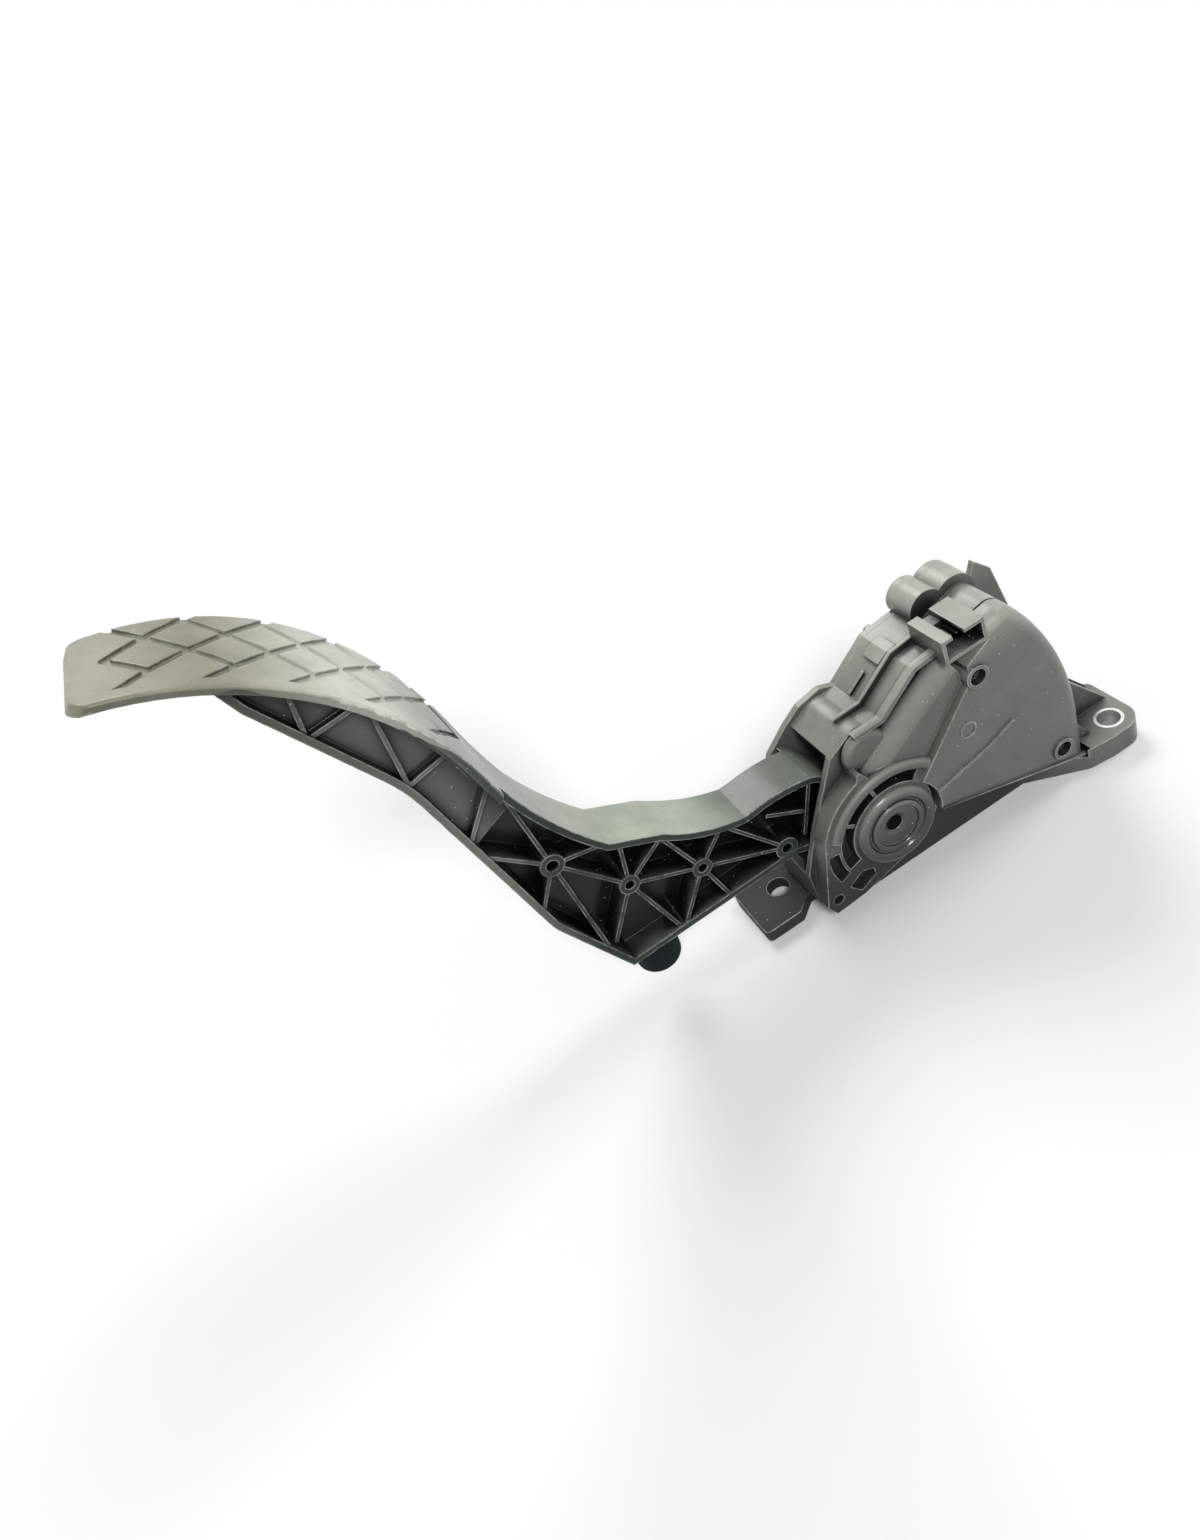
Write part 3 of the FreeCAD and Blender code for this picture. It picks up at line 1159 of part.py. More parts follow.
def far_cover():
    """The far wall: a plate with a rim, far bearing bore, ribs, lobes and a tab."""
    side = tub_side()
    plate = slab(side, FAR_INNER, FAR_FACE)
    radius = math.hypot(ARC_MID[0], ARC_MID[1] - PIVOT_Z)
    parts = []
    for corners in (FIN, CHEEK):
        parts.append(slab(rounded([(x, PIVOT_Z + z) for x, z in corners]), FAR_INNER, FAR_FACE))
    for x, z, size in LOBES:
        lobe = rod_y((x, z), size, FAR_INNER, LOBE_END_Y)
        rim = [edge for edge in lobe.Edges if edge.BoundBox.YMin > LOBE_END_Y - 0.01]
        parts.append(lobe.makeChamfer(LOBE_CHAMFER, rim))
    inside = slab(side, FAR_INNER, FAR_FACE + FAR_RIB_RISE)
    parts.append(rod_y((0, PIVOT_Z), COLLAR_INNER, FAR_INNER, FAR_FACE + FAR_RIB_RISE))
    for angle in (-18, 2, 22, 42, 62):
        turn = math.radians(angle)
        inner = (COLLAR_INNER * 0.95 * math.cos(turn), PIVOT_Z + COLLAR_INNER * 0.95 * math.sin(turn))
        outer = (radius * math.cos(turn), PIVOT_Z + radius * math.sin(turn))
        parts.append(bar(inner, outer, FAR_RIB, FAR_INNER, FAR_FACE + FAR_RIB_RISE).common(inside))
    for x, z in FAR_SCREWS:
        parts.append(rod_y((x, z), FAR_POST, FAR_INNER, FAR_FACE))
    cover = plate.fuse(parts)
    half = FAR_EAR_WIDTH / 2 + SEAT_GAP
    foot = EAR_THICKNESS + SEAT_GAP
    cuts = [
        rod_y((0, PIVOT_Z), PLUG_SHANK, FAR_INNER - 1, FAR_FACE + 4),
        box(FAR_EAR[0] - half, FAR_EAR[0] + half, FAR_INNER - 1, FAR_FACE + 4, -1, foot),
        box(BASE_LEFT - 1, LUG_ROOT_X + SEAT_GAP, FAR_INNER - 1, FAR_FACE + 4, -1, LUG_THICKNESS + SEAT_GAP),
    ]
    for x, z in FAR_SCREWS:
        cuts.append(rod_y((x, z), SCREW_SHANK, FAR_INNER - 1, FAR_FACE + 1))
        cuts.append(rod_y((x, z), SCREW_HEAD + SEAT_GAP, FAR_FACE, FAR_FACE + 4))
    return cover.cut(cuts).removeSplitter()


def far_cover_screws():
    """The screws that hold the far cover."""
    return Part.makeCompound([screw(spot, FAR_FACE, -1, FAR_FACE - FAR_INNER + 8.0) for spot in FAR_SCREWS])


def board_far():
    """The Y of the circuit board's back face."""
    return NEAR_WALL - BOARD_STANDOFF + BOARD_THICKNESS


def board_posts():
    """Side-view places of the posts under the circuit board."""
    return [(35.0, PIVOT_Z + 10.0), (66.0, PIVOT_Z + 2.0), (58.0, PIVOT_Z + 38.0)]


def circuit_board():
    """Sensor board on posts inside the sensor cover."""
    corners = [(x, PIVOT_Z + z, 1.0) for x, z in BOARD_CORNERS]
    board = slab(rounded(corners), board_far() - BOARD_THICKNESS, board_far())
    boss = SCREW_BOSS_RADIUS + SEAT_GAP
    room = [rod_y(spot, boss, NEAR_FACE, NEAR_WALL) for spot in SCREW_BOSSES]
    return board.cut(room)


def sensor_chips():
    """Packages soldered on the board's near side."""
    width, depth, height = CHIP
    face = board_far() - BOARD_THICKNESS
    chips = []
    for x, z in CHIP_SPOTS:
        chips.append(box(x, x + width, face - depth, face, PIVOT_Z + z, PIVOT_Z + z + height))
    return Part.makeCompound(chips)


def sensor_target():
    """Metal target on the lever's near side, which the sensor follows."""
    width, depth, height = TARGET_SIZE
    near = -ARM_WIDTH / 2
    middle = (LEVER_TOP + LEVER_BOTTOM) / 2
    return box(TARGET_X, TARGET_X + width, near, near + depth, middle - height / 2, middle + height / 2)


def target_pocket():
    """The pocket in the lever for the sensor target."""
    return sensor_target()


def spring_cup():
    """Cup on the lever that takes the springs' lower ends."""
    z = LEVER_TOP
    cup = rod_z(SPRING_X, 0, CUP_RADIUS, z, z + CUP_FLOOR + CUP_RIM)
    outer_room = CUP_RADIUS - CUP_WALL
    cup = cup.cut(rod_z(SPRING_X, 0, outer_room, z + CUP_FLOOR, z + CUP_FLOOR + CUP_RIM + 1))
    guide = rod_z(SPRING_X, 0, GUIDE_RADIUS, z + CUP_FLOOR / 2, z + CUP_FLOOR + GUIDE_LENGTH)
    return cup.fuse(guide).removeSplitter()


def upper_spring_seat():
    """Seat under the roof that takes the springs' upper ends."""
    disc = rod_z(SPRING_X, 0, CUP_RADIUS, SEAT_Z, SEAT_Z + SEAT_DISC)
    return disc.fuse(rod_z(SPRING_X, 0, GUIDE_RADIUS, SEAT_Z - GUIDE_LENGTH, SEAT_Z + 1)).removeSplitter()


def coil(radius, wire, turns):
    """A compression spring between the cup and the upper seat."""
    low = LEVER_TOP + CUP_FLOOR + wire / 2
    high = SEAT_Z - wire / 2
    path = Part.makeHelix((high - low) / turns, high - low, radius)
    profile = Part.Wire(Part.makeCircle(wire / 2, V(radius, 0, 0), V(0, 1, 0)))
    sweep = Part.Wire(path).makePipeShell([profile], True, True)
    return sweep.translated(V(SPRING_X, 0, low))


NODES = {
    "pedal_arm": lambda: pedal_arm().cut(target_pocket()),
    "hub_bushes": hub_bushes,
    "stop_bumper": stop_bumper,
    "spring_cup": spring_cup,
    "sensor_target": sensor_target,
    "housing_body": housing_body,
    "sensor_cover": sensor_cover,
    "cover_gasket": cover_gasket,
    "cover_screws": cover_screws,
    "far_cover": far_cover,
    "far_cover_screws": far_cover_screws,
    "near_pivot_plug": lambda: pivot_plug(-1, NEAR_FACE, BLOCK_FACE, NEAR_INNER),
    "far_pivot_plug": lambda: pivot_plug(1, FAR_HUB_FACE + PLUG_DISC_DEPTH, FAR_HUB_FACE, FAR_INNER),
    "mounting_bushings": mounting_bushings,
    "upper_spring_seat": upper_spring_seat,
    "return_spring_outer": lambda: coil(SPRING_OUTER, SPRING_OUTER_WIRE, OUTER_TURNS),
    "return_spring_inner": lambda: coil(SPRING_INNER, SPRING_INNER_WIRE, INNER_TURNS),
    "rest_stop_pad": rest_stop_pad,
    "friction_pad": friction_pad,
    "circuit_board": circuit_board,
    "sensor_chips": sensor_chips,
    "connector_terminals": connector_terminals,
}


def main():
    """Build each node and write it to the parts folder."""
    os.makedirs("parts", exist_ok=True)
    for name, make in NODES.items():
        shape = make()
        shape.exportStep("parts/" + name + ".step")
        print(name, "solids", len(shape.Solids), "volume", round(shape.Volume), "valid", shape.isValid())


main()
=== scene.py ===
import json
import math
from collections import namedtuple

import bpy
from mathutils import Matrix, Vector


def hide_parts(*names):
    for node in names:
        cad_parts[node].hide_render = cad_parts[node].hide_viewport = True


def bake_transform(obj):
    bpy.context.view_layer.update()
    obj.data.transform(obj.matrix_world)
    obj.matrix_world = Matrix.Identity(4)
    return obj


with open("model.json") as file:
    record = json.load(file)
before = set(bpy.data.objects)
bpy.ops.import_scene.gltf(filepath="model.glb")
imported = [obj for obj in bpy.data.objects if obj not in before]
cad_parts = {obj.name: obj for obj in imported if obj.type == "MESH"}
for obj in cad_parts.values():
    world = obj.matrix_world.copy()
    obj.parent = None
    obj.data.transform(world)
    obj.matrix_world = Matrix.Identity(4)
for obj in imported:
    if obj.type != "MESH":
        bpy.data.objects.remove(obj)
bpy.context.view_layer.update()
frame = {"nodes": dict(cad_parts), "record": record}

NODES = frame["nodes"]
MM = 0.001

# Camera: its place and its three axes in the part's frame, and its lens and sensor in millimetres
CAMERA_PLACE = Vector((-116.4, -281.5, 335.8)) * MM
CAMERA_RIGHT = Vector((0.83435888, -0.39893686, -0.38038748))
CAMERA_UP = Vector((0.54384556, 0.48325835, 0.68607097))
CAMERA_BACK = Vector((-0.08987357, -0.77930145, 0.62017094))
CAMERA_LENS = 25.4
CAMERA_SENSOR = 36.0
CAMERA_NEAR = 10.0 * MM

# Room: the floor's half side in metres, how far it lies below the part, its colour and the sky's light
FLOOR_HALF = 20.0
FLOOR_DROP = 0.3 * MM
FLOOR_COLOUR = (0.97, 0.97, 0.97)
SKY_LIGHT = 0.30

# Soft lamps: above the camera, behind the part for a gloss on upward faces, and beside it. source is the
# way from the part to the lamp.
Lamp = namedtuple("Lamp", "source strength spread_degrees")
LAMPS = {
    "key": Lamp(Vector((-0.06, -0.70, 0.71)), 1.5, 14),
    "back": Lamp(Vector((0.08, 0.73, 0.68)), 1.2, 28),
    "side": Lamp(Vector((0.60, 0.10, 0.79)), 0.55, 20),
}

# Colours of the mouldings, of the dust on them, partly a painted sheen at the pad's low end and a painted
# highlight at the crown, and of their worn edges, partly a painted highlight
PLASTIC = (0.032, 0.042, 0.033)
ARM_PLASTIC = (0.014, 0.025, 0.018)
ARM_DUST = (0.50, 0.55, 0.46)
PAD_DUST = (0.325, 0.315, 0.232)
LOW_END_DUST_AND_SHEEN = (0.80, 0.82, 0.72)
HOUSING_DUST = (0.30, 0.32, 0.275)
CROWN_DUST_AND_HIGHLIGHT = (0.58, 0.60, 0.52)
WORN_AND_HIGHLIGHT_EDGE = (0.72, 0.75, 0.68)

# A moulding's surface: the radius that its edges seem rounded by, the reach of its pockets, how much
# a face looks up before it takes dust, and the least and the most wear of its edges, which is partly a
# painted highlight
Surface = namedtuple("Surface", "edge_radius pocket_reach dust_from least_wear most_wear")
ARM_SURFACE = Surface(0.9 * MM, 24.0 * MM, -0.02, 0.15, 0.6)
OTHER_SURFACE = Surface(0.8 * MM, 18.0 * MM, -0.15, 0.35, 0.85)
RUBBER_EDGE_RADIUS = 0.8 * MM

# How open a face is from a pocket's full shade to none, and how much a face looks up for its full dust
POCKET_RANGE = (0.36, 0.97)
FULL_DUST = 0.62

# Share of dust in the tread's grooves, on the panel below the pad, at the arm's root and at the foot; the
# low shares at the root and the foot are painted shade
GROOVE_DUST = 0.42
PANEL_DUST = 0.16
ROOT_DUST_PAINTED_SHADE = 0.28
FOOT_DUST_PAINTED_SHADE = 0.06

# Painted shade: how dark the plastic is made in pockets and at the housing's foot
POCKET_PAINTED_SHADE = 0.25
FOOT_PAINTED_SHADE = 0.40

# Roughness that dust and the housing's foot add, and that edges lose
DUST_ROUGHNESS = 0.12
FOOT_ROUGHNESS = 0.45
EDGE_SMOOTHNESS = 0.06

# Specks: how much they pale the plastic, and how far they stand out of its grain
SPECK_SHARE = 0.5
SPECK_HEIGHT = 1.5
GRAIN_DEPTH = 0.06 * MM

# Share of dust from which a moulding shows all its specks and its wear with its painted edge highlight; a
# clean one shows none
AGED_DUST = 0.1

# Where most of a noise's values lie, and how far smudges and tool marks take a roughness down and up
NOISE_RANGE = (0.3, 0.7)
SMOOTHER, ROUGHER = -0.05, 0.07

# How alike the rounded normal and the face's own are where an edge starts, and where it is in full
EDGE_RANGE = (0.995, 0.86)

# Rays that a bevel or an occlusion node casts for each sample
NODE_RAYS = 6

# The pad's underside, as a line of X and Z in millimetres; the pad lies above it, as far as its low end
PAD_UNDERSIDE = ((-195.0, 227.0), (-157.0, 212.0), (-129.0, 174.5), (-109.0, 139.0))
UNDERSIDE_BLUR = 0.5 * MM
PAD_END = (-104.0 * MM, -110.0 * MM)

# Stretches of the arm along X: from the pad's middle to its low end, where a painted sheen grows, on to the
# leg, and the root at the hub, where painted shade lies
LOW_END = (-165.0 * MM, -130.0 * MM)
LEG = (-130.0 * MM, -112.0 * MM)
ROOT = (-72.0 * MM, -40.0 * MM)

# Stretches of the housing: up from its foot, over which painted shade fades out, out to the upper ear, and
# up to its crown, where a painted highlight lies
FOOT_Z = (16.0 * MM, 54.0 * MM)
EAR_X = (45.0 * MM, 85.0 * MM)
CROWN_Z = (72.0 * MM, 92.0 * MM)

# Return springs, whose coils are copied into the scene in place of the springs themselves
SPRINGS = ("return_spring_outer", "return_spring_inner")

# Places of a mix node's colour sockets, whose names its other sockets share
MIX_FIRST, MIX_SECOND, MIX_RESULT = 6, 7, 2


class Wiring:
    """The node tree of one material, with short ways to add and join nodes."""

    def __init__(self, name):
        self.material = bpy.data.materials.new(name)
        self.material.use_nodes = True
        self.tree = self.material.node_tree
        self.tree.nodes.clear()
        self.shader = self.add("ShaderNodeBsdfPrincipled")
        output = self.add("ShaderNodeOutputMaterial")
        self.join(self.shader.outputs["BSDF"], output.inputs["Surface"])
        self.place = self.add("ShaderNodeTexCoord")

    def add(self, kind, **settings):
        node = self.tree.nodes.new(kind)
        for name, value in settings.items():
            setattr(node, name, value)
        return node

    def join(self, source, target):
        self.tree.links.new(source, target)

    def feed(self, socket, value):
        """Join a socket to another one, or set its plain value."""
        if isinstance(value, bpy.types.NodeSocket):
            self.join(value, socket)
        else:
            socket.default_value = value

    def noise(self, scale, detail=3.0, roughness=0.5, stretch=(1, 1, 1), shift=0.0):
        """A noise value about 0.5, at a scale per metre."""
        mapping = self.add("ShaderNodeMapping")
        mapping.inputs["Scale"].default_value = stretch
        mapping.inputs["Location"].default_value = (shift, shift, shift)
        self.join(self.place.outputs["Object"], mapping.inputs["Vector"])
        node = self.add("ShaderNodeTexNoise")
        node.inputs["Scale"].default_value = scale
        node.inputs["Detail"].default_value = detail
        node.inputs["Roughness"].default_value = roughness
        self.join(mapping.outputs["Vector"], node.inputs["Vector"])
        return node.outputs["Fac"]

    def cells(self, scale):
        """The distance to the nearest cell's middle, at a scale per metre."""
        node = self.add("ShaderNodeTexVoronoi")
        node.inputs["Scale"].default_value = scale
        self.join(self.place.outputs["Object"], node.inputs["Vector"])
        return node.outputs["Distance"]

    def ramp(self, value, low, high, out_low=0.0, out_high=1.0):
        """A value carried smoothly from one range to another."""
        node = self.add("ShaderNodeMapRange", interpolation_type="SMOOTHSTEP")
        self.feed(node.inputs["Value"], value)
        node.inputs["From Min"].default_value = low
        node.inputs["From Max"].default_value = high
        node.inputs["To Min"].default_value = out_low
        node.inputs["To Max"].default_value = out_high
        return node.outputs["Result"]

    def maths(self, operation, first, second):
        node = self.add("ShaderNodeMath", operation=operation)
        self.feed(node.inputs[0], first)
        self.feed(node.inputs[1], second)
        return node.outputs["Value"]

    def total(self, first, second):
        return self.maths("ADD", first, second)

    def less(self, first, second):
        return self.maths("SUBTRACT", first, second)

    def largest(self, first, second):
        return self.maths("MAXIMUM", first, second)

    def product(self, first, *others):
        for other in others:
            first = self.maths("MULTIPLY", first, other)
        return first

    def mix(self, factor, first, second):
        """Two colours mixed by a factor."""
        node = self.add("ShaderNodeMix", data_type="RGBA")
        self.feed(node.inputs["Factor"], factor)
        self.feed(node.inputs[MIX_FIRST], first)
        self.feed(node.inputs[MIX_SECOND], second)
        return node.outputs[MIX_RESULT]

    def along(self, axis):
        """The place along one axis of the part's frame, in metres."""
        split = self.add("ShaderNodeSeparateXYZ")
        self.join(self.place.outputs["Object"], split.inputs["Vector"])
        return split.outputs[axis]

    def upward(self):
        """How much a face looks up, in the piece's own frame."""
        split = self.add("ShaderNodeSeparateXYZ")
        self.join(self.place.outputs["Normal"], split.inputs["Vector"])
        return split.outputs["Z"]

    def openness(self, reach):
        """1 on open faces, less in pockets and corners, within a reach in metres."""
        node = self.add("ShaderNodeAmbientOcclusion", samples=NODE_RAYS, only_local=True)
        node.inputs["Distance"].default_value = reach
        return node.outputs["AO"]

    def soft_edges(self, radius):
        """The normal, with edges rounded by a radius."""
        bevel = self.add("ShaderNodeBevel", samples=NODE_RAYS)
        bevel.inputs["Radius"].default_value = radius
        return bevel.outputs["Normal"]

    def edge_mask(self, normal):
        """1 on edges, where a rounded normal leaves the face's own, and 0 on flat faces."""
        flat = self.add("ShaderNodeNewGeometry")
        dot = self.add("ShaderNodeVectorMath", operation="DOT_PRODUCT")
        self.join(normal, dot.inputs[0])
        self.join(flat.outputs["Normal"], dot.inputs[1])
        return self.ramp(dot.outputs["Value"], *EDGE_RANGE)

    def colour(self, value):
        self.join(value, self.shader.inputs["Base Color"])

    def roughness(self, value):
        self.join(value, self.shader.inputs["Roughness"])

    def gloss(self, level):
        """The same mirror share everywhere."""
        self.shader.inputs["Specular IOR Level"].default_value = level

    def bump(self, height, strength, distance, normal=None):
        node = self.add("ShaderNodeBump")
        node.inputs["Strength"].default_value = strength
        node.inputs["Distance"].default_value = distance
        self.join(height, node.inputs["Height"])
        if normal:
            self.join(normal, node.inputs["Normal"])
        self.join(node.outputs["Normal"], self.shader.inputs["Normal"])


def rgba(colour):
    """A colour with full opacity."""
    return (colour[0], colour[1], colour[2], 1.0)


def lighter(colour, factor):
    """A colour made lighter or darker by a factor."""
    return rgba([channel * factor for channel in colour])


def over_underside(w):
    """1 on the pad, from its underside up, and 0 on the arm below it."""
    dust_left_by_painted_shade = 0.0
    for (x0, z0), (x1, z1) in zip(PAD_UNDERSIDE, PAD_UNDERSIDE[1:]):
        slope = (z1 - z0) / (x1 - x0)
        line = w.total(w.product(w.along("X"), slope), (z0 - slope * x0) * MM)
        above = w.ramp(w.less(w.along("Z"), line), -UNDERSIDE_BLUR, UNDERSIDE_BLUR)
        dust_left_by_painted_shade = w.largest(above, dust_left_by_painted_shade)
    return w.product(dust_left_by_painted_shade, w.ramp(w.along("X"), *PAD_END))


def arm_dust_and_sheen_colour(w):
    """Colour of the dust along the arm: olive on the pad, palest at its low end, where the paleness is
    partly a painted sheen, greener on the leg.
    """
    colour = w.mix(w.ramp(w.along("X"), *LOW_END), rgba(PAD_DUST), rgba(LOW_END_DUST_AND_SHEEN))
    return w.mix(w.ramp(w.along("X"), *LEG), colour, rgba(ARM_DUST))


def housing_dust_and_highlight_colour(w):
    """Colour of the dust on the housing and its covers: paler towards the crown, where the paleness is
    partly a painted highlight.
    """
    return w.mix(w.ramp(w.along("Z"), *CROWN_Z), rgba(HOUSING_DUST), rgba(CROWN_DUST_AND_HIGHLIGHT))


def height_on_housing(w):
    """0 at the housing's foot and 1 higher up or towards the upper ear; the foot's painted shade fades out
    along it.
    """
    return w.largest(w.ramp(w.along("Z"), *FOOT_Z), w.ramp(w.along("X"), *EAR_X))


def plain_plastic(w, colour, open_share):
    """Plastic with flow marks, darkened by painted shade in its pockets."""
    flow = w.noise(22.0, detail=4.0, roughness=0.6, stretch=(1, 1, 2.5))
    base = w.mix(w.ramp(flow, *NOISE_RANGE), lighter(colour, 0.84), lighter(colour, 1.18))
    return w.mix(open_share, lighter(colour, POCKET_PAINTED_SHADE), base)


def patchy_film(w):
    """1 where a film of dust is whole, a little less in its thin patches."""
    return w.ramp(w.noise(60.0, detail=7.0, roughness=0.65, shift=3.0), 0.30, 0.75, 0.72, 1.0)


def speck_mask(w):
    """1 on small specks, which lie in groups."""
    groups = w.ramp(w.noise(260.0, detail=2.0, shift=7.0), 0.58, 0.64)
    return w.product(w.ramp(w.cells(520.0), 0.18, 0.10), groups)


def wear_and_highlight_mask(w, surface, edge, open_share):
    """How worn an edge is and how bright its painted highlight: uneven along it, and not at all deep in a
    pocket.
    """
    marks = w.noise(170.0, detail=4.0, roughness=0.7, shift=9.0)
    rubbed_and_glinting = w.ramp(marks, 0.38, 0.62, surface.least_wear, 1.0)
    return w.product(edge, rubbed_and_glinting, w.ramp(open_share, 0.3, 0.9, 0.0, surface.most_wear))


def moulded_plastic(name, colour, roughness, dust, haze=0.10, gloss=0.5, grain=0.1, place=""):
    """Dark moulded plastic with grain, flow marks, dust, specks, worn edges with a painted highlight,
    painted shade in pockets, and a painted highlight at the crown.

    dust is its share on faces that look up, and haze its share on the others. place is arm, housing or
    hub where the dust changes along the piece, with painted shade at the arm's root and the housing's foot.
    """
    w = Wiring(name)
    surface = ARM_SURFACE if place == "arm" else OTHER_SURFACE
    normal = w.soft_edges(surface.edge_radius)
    edge = w.edge_mask(normal)
    open_share = w.ramp(w.openness(surface.pocket_reach), *POCKET_RANGE)
    coat = w.ramp(w.upward(), surface.dust_from, FULL_DUST, haze, dust)
    dust_left_by_painted_shade = 1.0
    if place == "arm":
        pad = over_underside(w)
        open_share = w.largest(open_share, pad)
        coat = w.largest(coat, w.product(pad, GROOVE_DUST))
        coat = w.largest(coat, w.ramp(w.along("X"), LEG[1], LEG[0], 0.0, PANEL_DUST))
        # Painted shade: less dust towards the arm's root at the hub
        dust_left_by_painted_shade = w.ramp(w.along("X"), *ROOT, 1.0, ROOT_DUST_PAINTED_SHADE)
    base = plain_plastic(w, colour, open_share)
    # Painted shade at the housing's foot: darker plastic and less dust low down
    if place in ("housing", "hub"):
        high = height_on_housing(w)
        dust_left_by_painted_shade = w.ramp(high, 0.0, 1.0, FOOT_DUST_PAINTED_SHADE, 1.0)
        base = w.mix(high, lighter(colour, FOOT_PAINTED_SHADE), base)
    # Pockets keep less dust, and the arm's root and the housing's foot less again: painted shade
    dusty = w.product(coat, patchy_film(w), open_share, dust_left_by_painted_shade)
    dust_and_sheen_colour = arm_dust_and_sheen_colour(w) if place == "arm" else housing_dust_and_highlight_colour(w)
    specks = speck_mask(w)
    pale = w.largest(w.product(specks, SPECK_SHARE), wear_and_highlight_mask(w, surface, edge, open_share))
    aged = min(dust / AGED_DUST, 1.0)
    # Specks, and edges that are worn and carry a painted highlight, make the dusty plastic paler
    w.colour(w.mix(w.product(pale, aged), w.mix(dusty, base, dust_and_sheen_colour), rgba(WORN_AND_HIGHLIGHT_EDGE)))
    smudges = w.noise(38.0, detail=5.0, roughness=0.6, shift=11.0)
    rough = w.ramp(smudges, *NOISE_RANGE, roughness + SMOOTHER, roughness + ROUGHER)
    rough = w.total(rough, w.less(w.product(dusty, DUST_ROUGHNESS), w.product(edge, EDGE_SMOOTHNESS)))
    if place == "housing":
        rough = w.total(rough, w.ramp(high, 0.0, 1.0, FOOT_ROUGHNESS, 0.0))
    w.roughness(rough)
    w.gloss(gloss)
    height = w.total(w.noise(2600.0, detail=2.0), w.product(specks, SPECK_HEIGHT))
    w.bump(height, grain, GRAIN_DEPTH, normal)
    return w.material


def rubber(name, colour):
    """Matt rubber with a chalky film and fine pits."""
    w = Wiring(name)
    film = w.ramp(w.noise(110.0, detail=6.0, roughness=0.7), 0.35, 0.75)
    w.colour(w.mix(film, lighter(colour, 0.6), lighter(colour, 1.4)))
    w.roughness(w.ramp(w.noise(60.0, shift=5.0), *NOISE_RANGE, 0.55, 0.8))
    w.gloss(0.10)
    pits = w.noise(1500.0, detail=4.0, roughness=0.6)
    w.bump(pits, 0.25, 0.08 * MM, w.soft_edges(RUBBER_EDGE_RADIUS))
    return w.material


def metal(name, colour, roughness):
    """Metal with tool marks drawn out along one way and a few dull patches."""
    w = Wiring(name)
    marks = w.noise(900.0, roughness=0.6, stretch=(1, 1, 12))
    patches = w.ramp(w.noise(140.0, detail=4.0, shift=2.0), 0.4, 0.7)
    w.colour(w.mix(patches, rgba(colour), lighter(colour, 0.72)))
    w.shader.inputs["Metallic"].default_value = 1.0
    marked = w.ramp(marks, *NOISE_RANGE, SMOOTHER, ROUGHER)
    dulled = w.ramp(patches, 0.0, 1.0, 0.0, 0.12)
    w.roughness(w.total(w.total(marked, dulled), roughness))
    w.bump(marks, 0.15, 0.03 * MM)
    return w.material


def lining(name, colour):
    """Friction lining: pressed fibres and grains."""
    w = Wiring(name)
    grains = w.ramp(w.cells(900.0), 0.2, 0.6)
    w.colour(w.mix(grains, lighter(colour, 0.6), lighter(colour, 1.4)))
    w.roughness(w.ramp(w.noise(400.0), *NOISE_RANGE, 0.75, 0.95))
    w.bump(w.noise(1200.0, detail=4.0, roughness=0.7), 0.4, 0.1 * MM)
    return w.material


def laminate(name, colour):
    """Lacquered circuit board, with paler and darker fields below the lacquer."""
    w = Wiring(name)
    fields = w.ramp(w.cells(180.0), 0.3, 0.34)
    weave = w.noise(700.0, detail=2.0, stretch=(4, 1, 1))
    base = w.mix(fields, lighter(colour, 1.25), lighter(colour, 0.8))
    w.colour(w.mix(w.ramp(weave, 0.4, 0.6, 0.0, 0.2), base, lighter(colour, 0.5)))
    w.roughness(w.ramp(weave, *NOISE_RANGE, 0.25, 0.4))
    w.bump(fields, 0.2, 0.03 * MM)
    return w.material


# What makes each slot's finish, and its values
FINISHES = {
    "arm_plastic": (moulded_plastic, dict(
        colour=ARM_PLASTIC, roughness=0.23, dust=0.92, haze=0.0, gloss=0.30, place="arm")),
    "housing_plastic": (moulded_plastic, dict(
        colour=PLASTIC, roughness=0.24, dust=0.80, haze=0.26, gloss=0.40, place="housing")),
    "cover_plastic": (moulded_plastic, dict(
        colour=PLASTIC, roughness=0.26, dust=0.66, haze=0.30, gloss=0.45, grain=0.08)),
    "plug_plastic": (moulded_plastic, dict(
        colour=PLASTIC, roughness=0.20, dust=0.60, haze=0.20, gloss=0.7, grain=0.06, place="hub")),
    "inner_plastic": (moulded_plastic, dict(colour=(0.10, 0.10, 0.10), roughness=0.5, dust=0.05)),
    "bush_plastic": (moulded_plastic, dict(
        colour=(0.62, 0.60, 0.54), roughness=0.45, dust=0.0, haze=0.0)),
    "bumper_rubber": (rubber, dict(colour=(0.003, 0.008, 0.009))),
    "seal_rubber": (rubber, dict(colour=(0.02, 0.02, 0.02))),
    "friction_lining": (lining, dict(colour=(0.20, 0.15, 0.10))),
    "screw_steel": (metal, dict(colour=(0.20, 0.20, 0.19), roughness=0.38)),
    "bushing_steel": (metal, dict(colour=(0.74, 0.76, 0.73), roughness=0.25)),
    "spring_steel": (metal, dict(colour=(0.42, 0.42, 0.41), roughness=0.32)),
    "target_metal": (metal, dict(colour=(0.75, 0.75, 0.74), roughness=0.3)),
    "board_laminate": (laminate, dict(colour=(0.03, 0.17, 0.07))),
    "chip_plastic": (moulded_plastic, dict(
        colour=(0.02, 0.02, 0.02), roughness=0.5, dust=0.0, haze=0.0)),
    "terminal_brass": (metal, dict(colour=(0.42, 0.38, 0.27), roughness=0.30)),
}


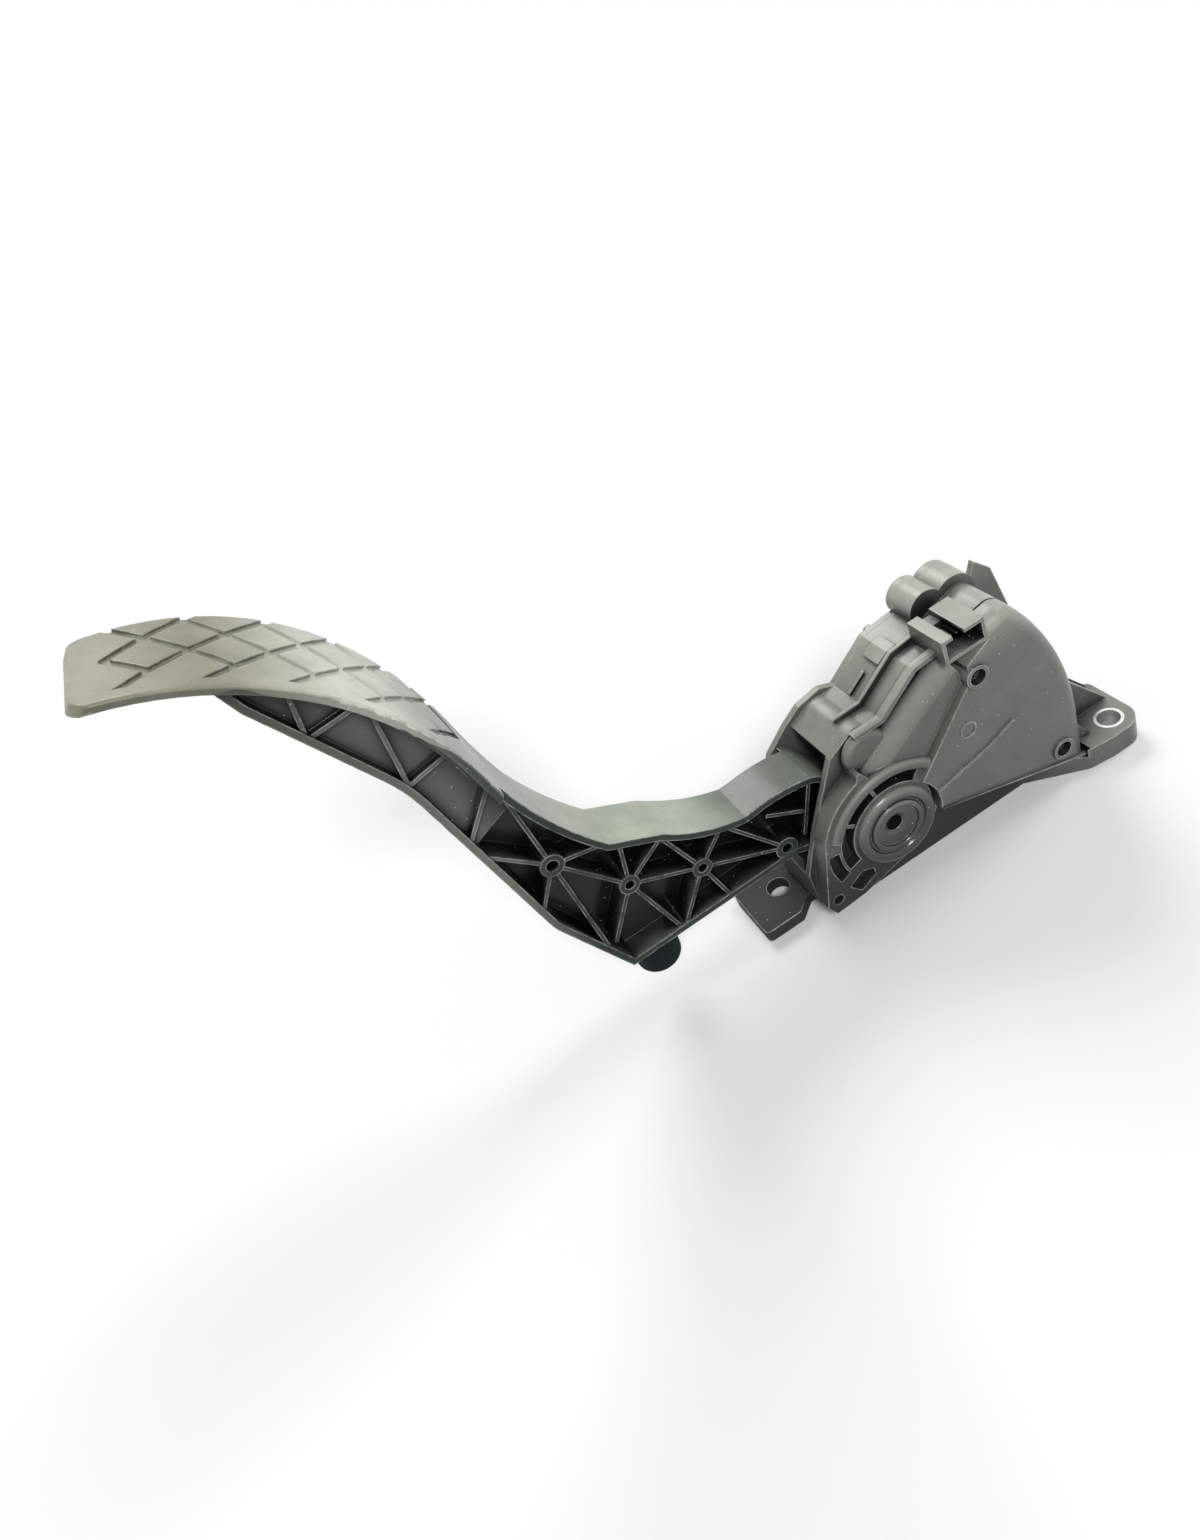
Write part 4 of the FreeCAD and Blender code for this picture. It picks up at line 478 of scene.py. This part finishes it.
def dress_nodes():
    """Give each node of the part its finish."""
    materials = {slot: finish(slot, **values) for slot, (finish, values) in FINISHES.items()}
    slots = {row["node"]: row["material_slot"] for row in frame["record"]["subparts"]}
    for name, node in NODES.items():
        node.data.materials.clear()
        node.data.materials.append(materials[slots[name]])


def make_springs():
    """Copies of the springs' coils, shown in place of the springs themselves."""
    for name in SPRINGS:
        coil = bpy.data.objects.new(name + "_coil", NODES[name].data.copy())
        bpy.context.scene.collection.objects.link(coil)
        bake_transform(coil)
        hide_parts(name)


def make_camera():
    """The camera, at the photograph's place and angle."""
    data = bpy.data.cameras.new("camera")
    data.lens = CAMERA_LENS
    data.sensor_width = CAMERA_SENSOR
    data.sensor_fit = "AUTO"
    data.clip_start = CAMERA_NEAR
    camera = bpy.data.objects.new("camera", data)
    axes = Matrix((CAMERA_RIGHT, CAMERA_UP, CAMERA_BACK)).transposed().to_4x4()
    camera.matrix_world = Matrix.Translation(CAMERA_PLACE) @ axes
    bpy.context.scene.collection.objects.link(camera)
    bpy.context.scene.camera = camera


def make_floor():
    """A pale floor just under the part's mounting face."""
    corners = [(x * FLOOR_HALF, y * FLOOR_HALF, 0) for x, y in ((-1, -1), (1, -1), (1, 1), (-1, 1))]
    mesh = bpy.data.meshes.new("floor")
    mesh.from_pydata(corners, [], [(0, 1, 2, 3)])
    floor = bpy.data.objects.new("floor", mesh)
    floor.location.z = -FLOOR_DROP
    bpy.context.scene.collection.objects.link(floor)
    material = bpy.data.materials.new("floor")
    material.use_nodes = True
    tree = material.node_tree
    tree.nodes.clear()
    diffuse = tree.nodes.new("ShaderNodeBsdfDiffuse")
    diffuse.inputs["Color"].default_value = rgba(FLOOR_COLOUR)
    output = tree.nodes.new("ShaderNodeOutputMaterial")
    tree.links.new(diffuse.outputs["BSDF"], output.inputs["Surface"])
    floor.data.materials.append(material)


def background_rays(tree):
    """1 for the rays that show the background: camera, glossy and transmission rays."""
    path = tree.nodes.new("ShaderNodeLightPath")
    total = path.outputs["Is Camera Ray"]
    for name in ("Is Glossy Ray", "Is Transmission Ray"):
        joined = tree.nodes.new("ShaderNodeMath")
        joined.operation = "MAXIMUM"
        tree.links.new(total, joined.inputs[0])
        tree.links.new(path.outputs[name], joined.inputs[1])
        total = joined.outputs["Value"]
    return total


def make_world():
    """White behind everything, and a softer level as light."""
    world = bpy.data.worlds.new("world")
    bpy.context.scene.world = world
    world.use_nodes = True
    tree = world.node_tree
    tree.nodes.clear()
    background = tree.nodes.new("ShaderNodeBackground")
    background.inputs["Color"].default_value = (1, 1, 1, 1)
    level = tree.nodes.new("ShaderNodeMapRange")
    level.inputs["To Min"].default_value = SKY_LIGHT
    level.inputs["To Max"].default_value = 1.0
    tree.links.new(background_rays(tree), level.inputs["Value"])
    tree.links.new(level.outputs["Result"], background.inputs["Strength"])
    output = tree.nodes.new("ShaderNodeOutputWorld")
    tree.links.new(background.outputs["Background"], output.inputs["Surface"])
    bpy.context.scene.view_settings.view_transform = "Standard"


def make_lamps():
    """Parallel lights, each soft by its spread."""
    for name, lamp in LAMPS.items():
        data = bpy.data.lights.new(name, "SUN")
        data.energy = lamp.strength
        data.angle = math.radians(lamp.spread_degrees)
        sun = bpy.data.objects.new(name, data)
        sun.rotation_euler = (-lamp.source).to_track_quat("-Z", "Y").to_euler()
        bpy.context.scene.collection.objects.link(sun)


make_camera()
make_world()
make_floor()
make_lamps()
dress_nodes()
make_springs()
